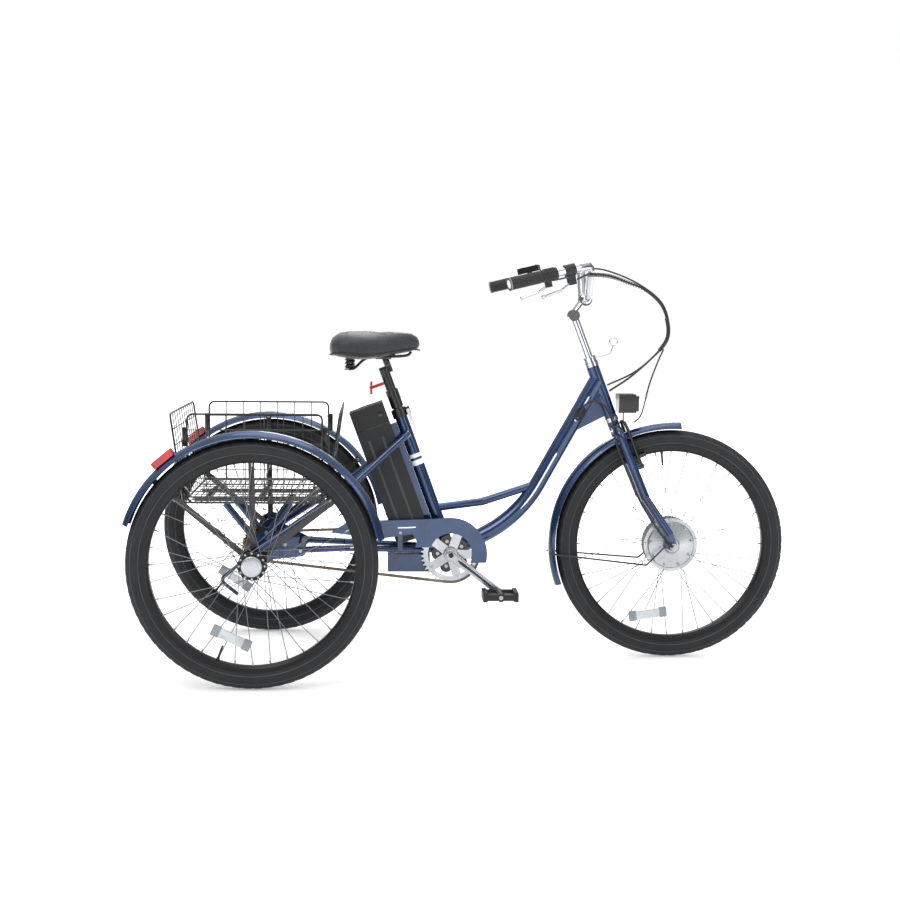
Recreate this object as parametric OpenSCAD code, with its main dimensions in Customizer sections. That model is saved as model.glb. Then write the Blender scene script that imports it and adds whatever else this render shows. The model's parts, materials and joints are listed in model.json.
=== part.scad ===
// Adult electric tricycle with a wire basket between its rear wheels.
// X points forward, Z up, and the right (chain) side is at -Y. Sizes in mm.
// The origin is on the ground, halfway between the rear and front axles.

/* [Overall] */
// Distance between the rear and the front axle
wheelbase = 1167; // [1000:1:1400]
// Distance between the middle planes of the rear wheels
track = 700; // [620:1:900]
// Outer radius of the tyres
wheel_r = 330; // [300:1:360]
// Width of the tyres
tyre_w = 48; // [38:1:56]

/* [Frame] */
// Lean of the steering axis from upright, in degrees
steer_tilt = 21.2; // [15:0.1:27]
// Length of the head tube
head_len = 155; // [120:1:220]
// Outer radius of the head tube
head_r = 18; // [17:0.5:24]
// Lean of the seat tube from upright, in degrees
seat_tilt = 20.2; // [15:0.1:25]
// Length of the seat tube above the bottom bracket
seat_len = 436; // [380:1:500]
// Outer radius of the seat tube
seat_r = 17.5; // [16:0.5:20]
// Outer radius of the down tube
down_r = 22.5; // [18:0.5:28]
// Outer radius of the slim brace tube
brace_r = 11.5; // [8:0.5:14]
// Height of the bottom bracket above the ground
bb_z = 308; // [270:1:350]
// Distance from the rear axle to the bottom bracket
stay_len = 533; // [480:1:620]

/* [Wheels] */
// Spokes in each wheel
spokes = 36; // [12:4:48]
// Diameter of a spoke
spoke_d = 2; // [1.6:0.1:3]
// Outer radius of the hub motor
motor_r = 72; // [60:1:90]
// Radius of the rear axle shaft
axle_r = 8; // [6:0.5:10]
// Radius of the rear hub flanges
hub_flange_r = 39; // [32:1:45]

/* [Fenders] */
// Gap between a tyre and its fender
fender_gap = 18; // [12:1:30]
// Width of the fenders
fender_w = 62; // [52:1:80]
// Thickness of the fenders
fender_t = 2; // [1.5:0.1:4]

/* [Drive] */
// Crank length, axis to axis
crank_len = 170; // [150:1:175]
// Teeth of the chainring
ring_teeth = 40; // [32:2:48]
// Teeth of the cog that the chain runs on
cog_teeth = 20; // [16:1:24]
// Angle of the right crank below forward, in degrees
crank_angle = -37.5; // [-90:1:90]
// Distance of the chain from the middle plane
chain_y = 50; // [46:1:60]

/* [Cockpit] */
// Outer diameter of the handlebar
bar_d = 22.2; // [20:0.1:25.4]
// Depth of the open bore in each bar end
bar_bore = 60; // [40:1:70]
// Half width of the handlebar at its ends
bar_half = 310; // [260:1:360]
// Length of the chrome stem quill above the head tube
stem_len = 150; // [100:1:180]

/* [Seat and battery] */
// Radius of the seat post
post_r = 13.6; // [12.7:0.1:15.5]
// Length of the saddle
saddle_len = 258; // [220:1:300]
// Width of the saddle
saddle_w = 230; // [180:1:280]
// Length of the battery case
battery_len = 395; // [320:1:420]
// Depth of the battery case, front to back
battery_deep = 98; // [80:1:104]
// Width of the battery case
battery_w = 92; // [70:1:110]

/* [Basket] */
// Length of the basket floor
basket_len = 380; // [320:1:420]
// Width of the basket
basket_w = 524; // [420:1:560]
// Height of the basket
basket_h = 236; // [180:1:280]
// Height of the basket floor above the ground
basket_z = 484; // [462:1:520]
// Diameter of the basket's frame wires
wire_d = 6; // [4:0.5:8]

/* [Hidden] */
$fn = 48;

blue = "#27477d";
black = "#23262b";
silver = "#d4d6d9";

gap = 0.4;                                  // clearance between bodies
fit = 0.05;                                 // running fit, on the radius
lap = 1;                                    // how far joined lengths of tube overlap
rear_x = -wheelbase / 2;
front_x = wheelbase / 2;
axle_z = wheel_r;
wheel_y = track / 2;
steer_foot = [front_x - 177, 0, axle_z + 365];   // lower end of the head tube
bb = [rear_x + stay_len, 0, bb_z];               // bottom bracket centre
steer_dir = [-sin(steer_tilt), 0, cos(steer_tilt)];
seat_dir = [-sin(seat_tilt), 0, cos(seat_tilt)];
right = -1;
left = 1;

down_top = steer_foot + 0.73 * head_len * steer_dir;  // where the down tube meets the head tube
down_corner = bb + [196, 0, 98];                      // corner of the down tube's bend
down_dir = unit(down_top - down_corner);
brace_low = bb + 133 * seat_dir;
brace_corner = bb + [92, 0, 143];
brace_high = down_corner + 112 * down_dir;
quill_r = 11.1;
steerer_r = 12.7;
cup_h = 12;                                      // height of a headset cup
nut_h = 15;                                      // height of the headset lock nut

rim_r = wheel_r - 62;                            // inner face of the rims
bead_r = wheel_r - 50.5;                         // seat of the tyre bead
rim_w = 29;
fender_r = wheel_r + fender_gap + fender_t;      // outer radius of the fenders

// --- helpers -------------------------------------------------------------
function unit(v) = v / norm(v);
function side(v) = abs(unit(v).z) < 0.9 ? unit(cross([0, 0, 1], v)) : unit(cross([0, 1, 0], v));

// Places children with their own Z axis along dir and X axis along ex
module aim(o, dir, ex) {
    z = unit(dir);
    x = unit(ex - (ex * z) * z);
    y = cross(z, x);
    multmatrix([[x.x, y.x, z.x, o.x], [x.y, y.y, z.y, o.y], [x.z, y.z, z.z, o.z], [0, 0, 0, 1]])
        children();
}
// A round bar from a to b
module rod(a, b, r) {
    aim(a, b - a, side(b - a)) cylinder(h = norm(b - a), r = r);
}
// A wheel frame: own Z runs along Y to the right, own X forward, own Y up
module on_axle(p) {
    translate(p) rotate([90, 0, 0]) children();
}
// Above the lower end of the head tube, along the steering axis
module on_steerer() {
    aim(steer_foot, steer_dir, [1, 0, 0]) children();
}
// Above the bottom bracket, along the seat tube
module on_seat_tube() {
    aim(bb, seat_dir, [1, 0, 0]) children();
}
// A flat washer or tube with a true bore
module ring(r_out, r_in, h) {
    difference() {
        cylinder(h = h, r = r_out);
        translate([0, 0, -1]) cylinder(h = h + 2, r = r_in);
    }
}
// Where a bend of radius bend leaves each leg of a corner
function bend_back(a, c, b, bend) = bend * tan(acos(unit(c - a) * unit(b - c)) / 2);
// A bent tube through points, with one bend radius for each inner point. Straight lengths
// run a little into the bends, which are a hair thicker, so that the pieces join.
module pipe(points, bends, r) {
    n = len(points);
    back = [for (i = [0:n - 1])
        i == 0 || i == n - 1 ? 0 : bend_back(points[i - 1], points[i], points[i + 1], bends[i - 1])];
    for (i = [0:n - 2]) {
        d = unit(points[i + 1] - points[i]);
        rod(points[i] + (back[i] - (i > 0 ? lap : 0)) * d,
            points[i + 1] - (back[i + 1] - (i < n - 2 ? lap : 0)) * d, r);
    }
    for (i = [1:n - 2]) {
        d_in = unit(points[i] - points[i - 1]);
        d_out = unit(points[i + 1] - points[i]);
        axis = unit(cross(d_in, d_out));
        toward = cross(axis, d_in);
        turn = acos(d_in * d_out);
        aim(points[i] - back[i] * d_in + bends[i - 1] * toward, axis, -toward)
            rotate_extrude(angle = turn) translate([bends[i - 1], 0]) circle(r = r + 0.3);
    }
}
// Points along a smooth curve through hand-placed points
function spline(p, steps) = [for (i = [0:len(p) - 2], k = [0:steps - 1])
    let (t = k / steps, a = p[max(i - 1, 0)], b = p[i], c = p[i + 1], d = p[min(i + 2, len(p) - 1)])
        ((2 * b) + (c - a) * t + (2 * a - 5 * b + 4 * c - d) * t * t
            + (3 * b - a - 3 * c + d) * t * t * t) / 2,
    p[len(p) - 1]];
// A thin cable swept along points as one closed polyhedron
module cable(points, d, sides = 8) {
    n = len(points);
    tangent = [for (i = [0:n - 1]) unit(points[min(i + 1, n - 1)] - points[max(i - 1, 0)])];
    verts = [for (i = [0:n - 1], k = [0:sides - 1])
        let (u = unit(cross(tangent[i], [0.12, 1, 0.07])), v = cross(tangent[i], u), a = 360 * k / sides)
            points[i] + d / 2 * (cos(a) * u + sin(a) * v)];
    sides_faces = [for (i = [0:n - 2], k = [0:sides - 1])
        [i * sides + k, i * sides + (k + 1) % sides, (i + 1) * sides + (k + 1) % sides,
            (i + 1) * sides + k]];
    cap_low = [for (k = [sides - 1:-1:0]) k];
    cap_high = [for (k = [0:sides - 1]) (n - 1) * sides + k];
    polyhedron(points = verts, faces = concat(sides_faces, [cap_low], [cap_high]), convexity = 6);
}

// --- wheels --------------------------------------------------------------
module tyre_at(p) {
    crown = wheel_r - tyre_w / 2;
    color(black) on_axle(p) rotate_extrude($fn = 144) difference() {
        union() {
            intersection() {
                translate([crown, 0]) circle(r = tyre_w / 2, $fn = 48);
                translate([rim_r + 19, -tyre_w]) square([70, 2 * tyre_w]);
            }
            translate([bead_r + 0.2, -rim_w / 2 + 3.2]) square([14, rim_w - 6.4]);
        }
        translate([crown, 0]) circle(r = tyre_w / 2 - 4, $fn = 48);
        translate([bead_r - 1, -rim_w / 2 + 8]) square([24, rim_w - 16]);
    }
}
module rim_at(p) {
    h = rim_w / 2;
    color(black) on_axle(p) rotate_extrude($fn = 144) polygon([
        [rim_r, -h + 6], [rim_r, h - 6], [rim_r + 6, h - 1], [rim_r + 18, h], [rim_r + 18, h - 3],
        [bead_r, h - 3], [bead_r, -h + 3], [rim_r + 18, -h + 3], [rim_r + 18, -h], [rim_r + 6, -h + 1]
    ]);
}
// Laced spokes: hub_r and hub_y place the flange holes, cross_deg leans each spoke
module spokes_at(p, hub_r, hub_y, cross_deg) {
    color(silver) on_axle(p) for (i = [0:spokes - 1]) {
        hand = i % 2 == 0 ? 1 : -1;
        lean = floor(i / 2) % 2 == 0 ? 1 : -1;
        a = 360 * i / spokes;
        inner = [hub_r * cos(a + lean * cross_deg), hub_r * sin(a + lean * cross_deg),
            hand * hub_y + lean * spoke_d];
        outer = [(rim_r + 2) * cos(a), (rim_r + 2) * sin(a), hand * 2];
        rod(inner, outer, spoke_d / 2);
    }
}

// --- front frame ---------------------------------------------------------
bb_shell_r = 21;
bb_half = 36;
spindle_r = 8.5;
post_bore = 200;                                 // depth of the seat post's bore
post_in = 130;                                   // length of post inside the tube

module front_frame() {
    color(blue) difference() {
        union() {
            on_steerer() cylinder(h = head_len, r = head_r);
            on_axle(bb + [0, bb_half, 0]) cylinder(h = 2 * bb_half, r = bb_shell_r);
            pipe([bb, down_corner, down_top], [360], down_r);
            rod(bb, bb + seat_len * seat_dir, seat_r);
            pipe([brace_low, brace_corner, brace_high], [90], brace_r);
            gusset();
            // chain stays from the bottom bracket to the bolted joint with the rear frame
            for (hand = [right, left])
                rod(bb + [-8, hand * 28, 8], stay_joint(hand), 9);
        }
        on_steerer() translate([0, 0, -1]) cylinder(h = head_len + 2, r = steerer_r + 0.6);
        on_axle(bb + [0, bb_half + 1, 0]) cylinder(h = 2 * bb_half + 2, r = spindle_r + fit);
        on_seat_tube() translate([0, 0, seat_len - post_bore]) cylinder(h = post_bore + 1, r = post_r + fit);
    }
}
// Sheet gusset under the joint of the down tube and the head tube
module gusset() {
    under = down_top - 145 * down_dir;
    foot = steer_foot + 6 * steer_dir;
    translate([0, 14, 0]) rotate([90, 0, 0]) linear_extrude(28) polygon([
        [under.x + 12, under.z - 16], [foot.x - 18, foot.z - 2], [foot.x - 6, foot.z + 6],
        [down_top.x - 5, down_top.z - 10], [under.x, under.z]
    ]);
}
function stay_joint(hand) = [bb.x - 300, hand * 58, bb.z + 18];

// --- rear frame ----------------------------------------------------------
plate_y = 92;                                    // inner axle plates
housing_end = wheel_y - fender_w / 2 - 3.3;      // outer end of each axle housing, at the stays
housing_r = 17;
rack_z = basket_z - wire_d - 14.3;               // top of the basket rack's supports

module axle_plate(hand) {
    translate([rear_x, hand * plate_y + 3, axle_z]) rotate([90, 0, 0]) linear_extrude(6) difference() {
        hull() {
            circle(r = 34);
            translate([112, -6]) circle(r = 16);
            translate([18, 46]) circle(r = 14);
        }
        circle(r = axle_r + 8);
    }
}
module rear_frame() {
    color(blue) difference() {
        union() {
            for (hand = [right, left]) {
                axle_plate(hand);
                // axle housing with the bearing seats
                on_axle([rear_x, max(hand * plate_y, hand * housing_end), axle_z])
                    cylinder(h = housing_end - plate_y, r = housing_r);
                // chain stay tail, in line with the front frame's stay
                rod(stay_joint(hand) + [-1, 0, 0], [rear_x + 104, hand * plate_y, axle_z - 4], 9);
                // strut from the seat tube, round the battery, to the housing
                pipe([strut_top(hand), strut_top(hand) + [0, hand * 42.3, 0],
                    bb + [-271.5, hand * 97, 207], [rear_x, hand * 168, axle_z + 6]], [16, 60], 9.5);
                // uprights to the basket rack
                for (x = [-96, 84])
                    rod([rear_x + x / 6, hand * plate_y, axle_z + 28],
                        [rear_x + x, hand * plate_y, rack_z - 6.3], 9.5);
            }
            // cross tube ahead of the cogs and guard hoop behind them
            rod([rear_x + 112, -plate_y, axle_z - 5], [rear_x + 112, plate_y, axle_z - 5], 13);
            pipe([[rear_x - 20, -plate_y - 4, axle_z - 12], [rear_x - 112, -plate_y - 4, axle_z - 88],
                [rear_x - 62, -plate_y - 4, axle_z - 128]], [14], 5);
        }
        on_axle([rear_x, wheel_y, axle_z]) cylinder(h = track, r = axle_r + 5.5);
        for (hand = [right, left])
            on_axle([rear_x, hand * (housing_end - 6) + 7, axle_z]) cylinder(h = 14, r = bearing_r);
    }
}
bearing_r = 14;
function strut_top(hand) = bb + (seat_len - 74) * seat_dir + [0, hand * (seat_r + 0.2), 0];

// Flanged bearings: two at the housing ends, two in the inner plates
module axle_bearings() {
    color("silver") for (hand = [right, left]) {
        on_axle([rear_x, hand * (housing_end - 6) + 6, axle_z]) ring(bearing_r, axle_r + fit, 12);
        on_axle([rear_x, hand * (plate_y - 9) + 6, axle_z]) ring(19, axle_r + fit, 12);
    }
}

module basket_rack() {
    color(black) {
        for (hand = [right, left])
            translate([rear_x - 180, hand * plate_y - 11, rack_z]) cube([360, 22, 10]);
        for (x = [-150, 0, 138])
            translate([rear_x + x, -plate_y - 40, rack_z + 10]) cube([16, 2 * plate_y + 80, 4]);
    }
}

// --- basket --------------------------------------------------------------
flare = 36;                                      // how far the end panels lean out at the top
module basket() {
    x0 = rear_x - 190;
    t = wire_d;
    color(black) difference() {
        union() {
            translate([x0, -basket_w / 2, basket_z - t]) cube([basket_len, basket_w, t]);
            for (y = [-basket_w / 2, basket_w / 2 - t])
                translate([x0, y, basket_z - t]) cube([basket_len, t, basket_h + t]);
            translate([0, basket_w / 2, 0]) rotate([90, 0, 0]) linear_extrude(basket_w) {
                polygon([[x0, basket_z - t], [x0 + t, basket_z - t],
                    [x0 + t - flare, basket_z + basket_h], [x0 - flare, basket_z + basket_h]]);
                polygon([[x0 + basket_len - t, basket_z - t], [x0 + basket_len, basket_z - t],
                    [x0 + basket_len + flare, basket_z + basket_h],
                    [x0 + basket_len + flare - t, basket_z + basket_h]]);
            }
        }
    }
}

// --- rear fenders --------------------------------------------------------
module fender(p, w, from_deg, to_deg) {
    r = wheel_r + fender_gap;
    color(blue) on_axle(p) rotate([0, 0, from_deg]) rotate_extrude(angle = to_deg - from_deg, $fn = 144)
        polygon([
            [r - 8, -w / 2], [r - 8, -w / 2 + fender_t], [r, -w / 2 + fender_t], [r, w / 2 - fender_t],
            [r - 8, w / 2 - fender_t], [r - 8, w / 2], [r, w / 2], [r + fender_t, w / 2 - 8],
            [r + fender_t, -w / 2 + 8], [r, -w / 2]
        ]);
}
module rear_fender_right() fender([rear_x, -wheel_y, axle_z], fender_w, 11.5, 162);
module rear_fender_left() fender([rear_x, wheel_y, axle_z], fender_w, 11.5, 162);

// Flat stays fan out from the end of each axle housing to the fender's inner skirt
stay_t = 3;
module fender_stays() {
    color(black) for (hand = [right, left])
        on_axle([rear_x, hand * (wheel_y - fender_w / 2 - stay_t / 2) + stay_t / 2, axle_z]) difference() {
            union() {
                cylinder(h = stay_t, r = 28);
                for (a = [38, 91, 140])
                    rotate([0, 0, a]) translate([20, -8, 0]) cube([wheel_r + fender_gap - 24, 16, stay_t]);
            }
            translate([0, 0, -1]) cylinder(h = stay_t + 2, r = axle_r + 2);
        }
}

// --- fork, stem and bar --------------------------------------------------
blade_r = 13;
blade_y = 46;
dropout_y = 53;
crown_foot = steer_foot - 28 * steer_dir;
blade_low = [front_x - 9, dropout_y, axle_z + 34];
steerer_top = head_len + cup_h;

knee = [front_x - 82, blade_y, axle_z + 140];
shoulder = steer_foot - 42 * steer_dir + [2, blade_y, 0];
fore = [cos(steer_tilt), 0, sin(steer_tilt)];    // square to the steering axis
post_pin_r = 4;
arm_y = 42;                                      // brake arm pivots, from the middle plane
function brake_foot(hand) = let (p = knee + 88 * unit(shoulder - knee)) [p.x, hand * arm_y, p.z];

function mirror_y(p, hand) = [p.x, hand * p.y, p.z];
module fork() {
    color(blue) difference() {
        union() {
            on_steerer() translate([0, 0, -30]) cylinder(h = steerer_top + 30, r = steerer_r);
            on_steerer() translate([0, 0, -36]) cylinder(h = 36 - cup_h - 0.5, r = 17);
            for (hand = [right, left]) {
                pipe([crown_foot, mirror_y(shoulder, hand), mirror_y(knee, hand)], [24], blade_r);
                rod(mirror_y(knee, hand), mirror_y(blade_low, hand), blade_r - 1.5);
                sphere_at(mirror_y(knee, hand), blade_r + 0.4);
                // dropout plate with the axle hole and an ear for the fender stay
                translate([front_x, hand * dropout_y + 3, axle_z]) rotate([90, 0, 0])
                    linear_extrude(6) hull() {
                        circle(r = 13);
                        translate([-9, 34]) circle(r = 9);
                        translate([-22, 2]) circle(r = 6);
                    }
                // post that the brake arm turns on
                rod(brake_foot(hand), brake_foot(hand) + 33 * fore, post_pin_r);
                rod(brake_foot(hand), brake_foot(hand) + 17 * fore, 8);
            }
        }
        on_steerer() translate([0, 0, -10]) cylinder(h = head_len + 60, r = quill_r + fit);
        on_axle([front_x, 70, axle_z]) cylinder(h = 140, r = motor_axle_r + fit);
    }
}
module sphere_at(p, r) translate(p) sphere(r = r);
motor_axle_r = 6;

module headset_cups() {
    color(silver) on_steerer() {
        difference() {
            union() {
                translate([0, 0, -cup_h]) cylinder(h = cup_h, r = 19.5);
                translate([0, 0, head_len]) cylinder(h = cup_h, r = 19.5);
            }
            translate([0, 0, -cup_h - 1]) cylinder(h = head_len + 2 * cup_h + 2, r = steerer_r + fit);
        }
    }
}

bar_fwd = 46;                                    // bar clamp ahead of the steering axis
bar_up = 184;                                    // bar clamp above the head tube
bar_mid = steer_foot + (head_len + bar_up) * steer_dir + bar_fwd * fore;
quill_top = head_len + cup_h + stem_len;
stem_knuckle = steer_foot + (quill_top - 8) * steer_dir;
module stem() {
    color(silver) difference() {
        union() {
            on_steerer() translate([0, 0, 80]) cylinder(h = quill_top - 80, r = quill_r);
            on_steerer() translate([0, 0, head_len + cup_h + gap]) ring(18, quill_r - 0.5, nut_h);
            rod(stem_knuckle, bar_mid, 13);
            on_axle(stem_knuckle + [0, 17, 0]) cylinder(h = 34, r = 16);
            on_axle(bar_mid + [0, 21, 0]) cylinder(h = 42, r = bar_d / 2 + 6);
        }
        on_axle(bar_mid + [0, 30, 0]) cylinder(h = 60, r = bar_d / 2 + fit);
    }
}

// Half of the handlebar, from the clamp out to one end
function bar_path(hand) = [
    bar_mid,
    bar_mid + [0, hand * 52, 0],
    bar_mid + [0, hand * 92, 84],
    bar_mid + [-30, hand * (bar_half - 62), 88],
    bar_mid + [-245, hand * bar_half, 36]
];
function bar_end(hand) = bar_path(hand)[4];
function bar_dir(hand) = unit(bar_path(hand)[4] - bar_path(hand)[3]);   // out of the bar's end
module handlebar() {
    color(silver) difference() {
        union() {
            for (hand = [right, left]) pipe(bar_path(hand), [26, 26, 60], bar_d / 2);
            rod(bar_mid - [0, 5, 0], bar_mid + [0, 5, 0], bar_d / 2 + 0.02);
        }
        // the left end is open for a mirror, the right end is plugged
        rod(bar_end(left) - bar_bore * bar_dir(left), bar_end(left) + 2 * bar_dir(left), 9);
    }
}
// Places children on the straight part of one side of the bar: own Z runs towards the
// middle, starting at the bar's end, and own X points up
module on_bar(hand, along) {
    aim(bar_end(hand) - along * bar_dir(hand), -bar_dir(hand), [0, 0, 1]) children();
}

grip_len = 92;
grip_r = 16;
module grip(hand, from, len) {
    color(black) on_bar(hand, from) difference() {
        union() {
            cylinder(h = len, r = grip_r);
            cylinder(h = 3, r = grip_r + 1.5);
        }
        translate([0, 0, -1]) cylinder(h = len + 2, r = bar_d / 2 + fit);
    }
}
module grip_right() grip(right, 0, grip_len);
module grip_left() grip(left, 0, grip_len);

// Twist throttle beside the right grip
throttle_from = grip_len + 3;
throttle_len = 42;
module twist_throttle() {
    color(black) on_bar(right, throttle_from) difference() {
        union() {
            cylinder(h = throttle_len, r = grip_r + 0.5);
            for (i = [0:11]) rotate([0, 0, 30 * i]) translate([grip_r - 1, -1.5, 4])
                cube([3, 3, throttle_len - 10]);
        }
        translate([0, 0, -1]) cylinder(h = throttle_len + 2, r = bar_d / 2 + fit);
    }
}

// --- levers, display and lamp --------------------------------------------
bracket_from = 162;
lever_at = [-30, 0, bracket_from + 14];          // lever pivot, in the bar's own frame
pin_r = 2.5;
module brake_bracket(hand) {
    color(black) on_bar(hand, 0) {
        difference() {
            union() {
                translate([0, 0, bracket_from]) cylinder(h = 28, r = bar_d / 2 + 5);
                translate([-39, -9, bracket_from + 4]) cube([34, 18, 20]);
            }
            translate([0, 0, bracket_from - 1]) cylinder(h = 30, r = bar_d / 2 + fit);
            translate([-50, -5, bracket_from + 3]) cube([28, 10, 22]);
        }
        translate(lever_at + [0, 9, 0]) rotate([90, 0, 0]) cylinder(h = 18, r = pin_r);
    }
}
module brake_bracket_right() brake_bracket(right);
module brake_bracket_left() brake_bracket(left);

module brake_lever(hand) {
    color(silver) on_bar(hand, 0) translate(lever_at) difference() {
        union() {
            translate([0, 4.5, 0]) rotate([90, 0, 0]) cylinder(h = 9, r = 6.5);
            rod([-2, 0, 0], [-16, 0, -34], 4.4);
            rod([-16, 0, -34], [-23, 0, -88], 4.4);
            sphere_at([-16, 0, -34], 4.8);
            sphere_at([-23, 0, -88], 6);
        }
        translate([0, 6, 0]) rotate([90, 0, 0]) cylinder(h = 12, r = pin_r + fit);
    }
}
module brake_lever_right() brake_lever(right);
module brake_lever_left() brake_lever(left);

display_size = [18, 42, 64];                     // up, across and along the bar
display_from = 95;
button_r = 6;
button_along = 12;
module display_unit() {
    color(black) on_bar(left, 0) difference() {
        union() {
            translate([16, -display_size.y / 2, display_from]) cube(display_size);
            translate([0, -7, display_from + 26]) cube([18, 14, 14]);
            translate([0, 0, display_from + 26]) cylinder(h = 14, r = bar_d / 2 + 4);
        }
        translate([0, 0, display_from]) cylinder(h = 60, r = bar_d / 2 + fit);
        translate([16 + display_size.x - 6, 0, display_from + button_along]) rotate([0, 90, 0])
            cylinder(h = 7, r = button_r + 0.35);
    }
}
module power_button() {
    color("gray") on_bar(left, 0)
        translate([16 + display_size.x - 3.4, 0, display_from + button_along]) rotate([0, 90, 0])
            cylinder(h = 5, r = button_r);
}

lamp = [58, 64, 52];
lamp_at = steer_foot + [18, 0, 14];              // lower rear edge of the lamp
module headlight() {
    color(black) {
        translate(lamp_at + [0, -lamp.y / 2, 0]) cube([lamp.x - 8, lamp.y, lamp.z]);
        translate(lamp_at + [lamp.x - 8, -lamp.y / 2 + 4, 4]) cube([8, lamp.y - 8, lamp.z - 8]);
        // bracket down to the fork crown
        translate(lamp_at + [16, -8, -30]) cube([3, 16, 30.5]);
        rod(lamp_at + [17, 0, -26], steer_foot - 24 * steer_dir + 17.4 * fore, 4);
    }
}

// Wire loop that holds the cables clear of the head tube
module cable_guide() {
    start = steer_foot + (head_len + cup_h + 8) * steer_dir + 18.3 * fore;
    color(silver) {
        pipe([start, start + [42, 0, 12], start + [50, 0, 34]], [8], 1.4);
        aim(start + [50, 0, 45], [0, 1, 0], [1, 0, 0]) rotate_extrude() translate([11, 0]) circle(r = 1.4);
    }
}

// --- front wheel and fender ----------------------------------------------
front_fender_w = 58;
motor_half = 44;
module front_tyre() tyre_at([front_x, 0, axle_z]);
module front_rim() rim_at([front_x, 0, axle_z]);
module front_spokes() spokes_at([front_x, 0, axle_z], motor_r - 1, 22, 16);
module motor_shell() {
    color(silver) on_axle([front_x, 0, axle_z]) rotate_extrude($fn = 96) polygon([
        [motor_axle_r + fit, -motor_half], [18, -motor_half], [24, -36], [motor_r - 8, -29],
        [motor_r - 4, -24], [motor_r + 5, -24], [motor_r + 5, -20], [motor_r - 4, -20],
        [motor_r - 4, 20], [motor_r + 5, 20], [motor_r + 5, 24], [motor_r - 4, 24],
        [motor_r - 8, 29], [24, 36], [18, motor_half], [motor_axle_r + fit, motor_half]
    ]);
}
// Fixed axle with a nut and washer outside each dropout
module motor_axle() {
    color("dimgray") on_axle([front_x, 70, axle_z]) {
        cylinder(h = 140, r = motor_axle_r);
        for (z = [0, 1]) translate([0, 0, 70 + (2 * z - 1) * (dropout_y + 3.2 + 5) - 5])
            cylinder(h = 10, r = 10, $fn = 6);
    }
}
module front_fender() fender([front_x, 0, axle_z], front_fender_w, 86, 200);
module front_fender_stays() {
    color(black) for (hand = [right, left])
        pipe([
            [front_x - wheel_r - 22, hand * (front_fender_w / 2 + 2.7), axle_z - 25],
            [front_x - 77, hand * 66, axle_z - 52],
            [front_x - 22, hand * (dropout_y + 5.8), axle_z + 2]
        ], [12], 2.5);
}

// Brake arm beside the tyre: pivots on the fork's post, pad facing the rim
module brake_arm(hand) {
    foot = brake_foot(hand) + 17.5 * fore;
    up = steer_dir;
    in = [0, -hand, 0];
    color(black) {
        difference() {
            union() {
                rod(foot, foot + 12 * fore, 9);
                pipe([foot + 6 * fore, foot + 6 * fore + 112 * up, foot + 6 * fore + 132 * up + 16 * in],
                    [20], 4.5);
                rod(foot + 6 * fore + 24 * up, foot + 6 * fore + 24 * up + 20 * in, 4);
            }
            rod(brake_foot(hand), brake_foot(hand) + 50 * fore, post_pin_r + fit);
        }
        // pad, held against the side of the rim
        pad_mid = foot + 6 * fore + 24 * up + 20 * in;
        aim(pad_mid - 27 * unit([-1, 0, -0.4]) , unit([-1, 0, -0.4]), [0, 1, 0])
            translate([-5, -5, 0]) cube([10, 10, 54]);
    }
}
module brake_arm_right() brake_arm(right);
module brake_arm_left() brake_arm(left);

// --- rear wheels ---------------------------------------------------------
module rear_tyre_right() tyre_at([rear_x, -wheel_y, axle_z]);
module rear_tyre_left() tyre_at([rear_x, wheel_y, axle_z]);
module rear_rim_right() rim_at([rear_x, -wheel_y, axle_z]);
module rear_rim_left() rim_at([rear_x, wheel_y, axle_z]);
module rear_spokes_right() spokes_at([rear_x, -wheel_y, axle_z], hub_flange_r - 4, 20, 58);
module rear_spokes_left() spokes_at([rear_x, wheel_y, axle_z], hub_flange_r - 4, 20, 58);

hub_half = 27;
cap_r = 27;
module rear_hub(hand, bore_r) {
    color("dimgray") on_axle([rear_x, hand * wheel_y, axle_z]) mirror([0, 0, hand > 0 ? 1 : 0])
        rotate_extrude($fn = 96) polygon([
            [bore_r, -hub_half], [16, -hub_half], [16, -22], [hub_flange_r, -22], [hub_flange_r, -18],
            [20, -18], [20, 18], [hub_flange_r, 18], [hub_flange_r, 22], [cap_r, 22], [cap_r, hub_half + 6],
            [cap_r - 3, hub_half + 8], [0, hub_half + 8], [0, hub_half + 6], [bore_r, hub_half + 6]
        ]);
}
module rear_hub_right() rear_hub(right, axle_r + 0.1);
module rear_hub_left() rear_hub(left, axle_r + fit);
module axle_shaft() {
    half = wheel_y + hub_half + 5.6;
    color("silver") on_axle([rear_x, half, axle_z]) cylinder(h = 2 * half, r = axle_r);
}

// --- drive ---------------------------------------------------------------
pitch = 12.7;
ring_r = pitch / 2 / sin(180 / ring_teeth);
cog_r = pitch / 2 / sin(180 / cog_teeth);
chain_half = 4;                                  // half the height of the chain's side plates
chain_w = 6.6;
crank_t = 12;
crank_y = chain_y + 17;                          // inner face of the crank arms
pedal_axle_r = 6;
pedal_w = 86;

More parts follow.
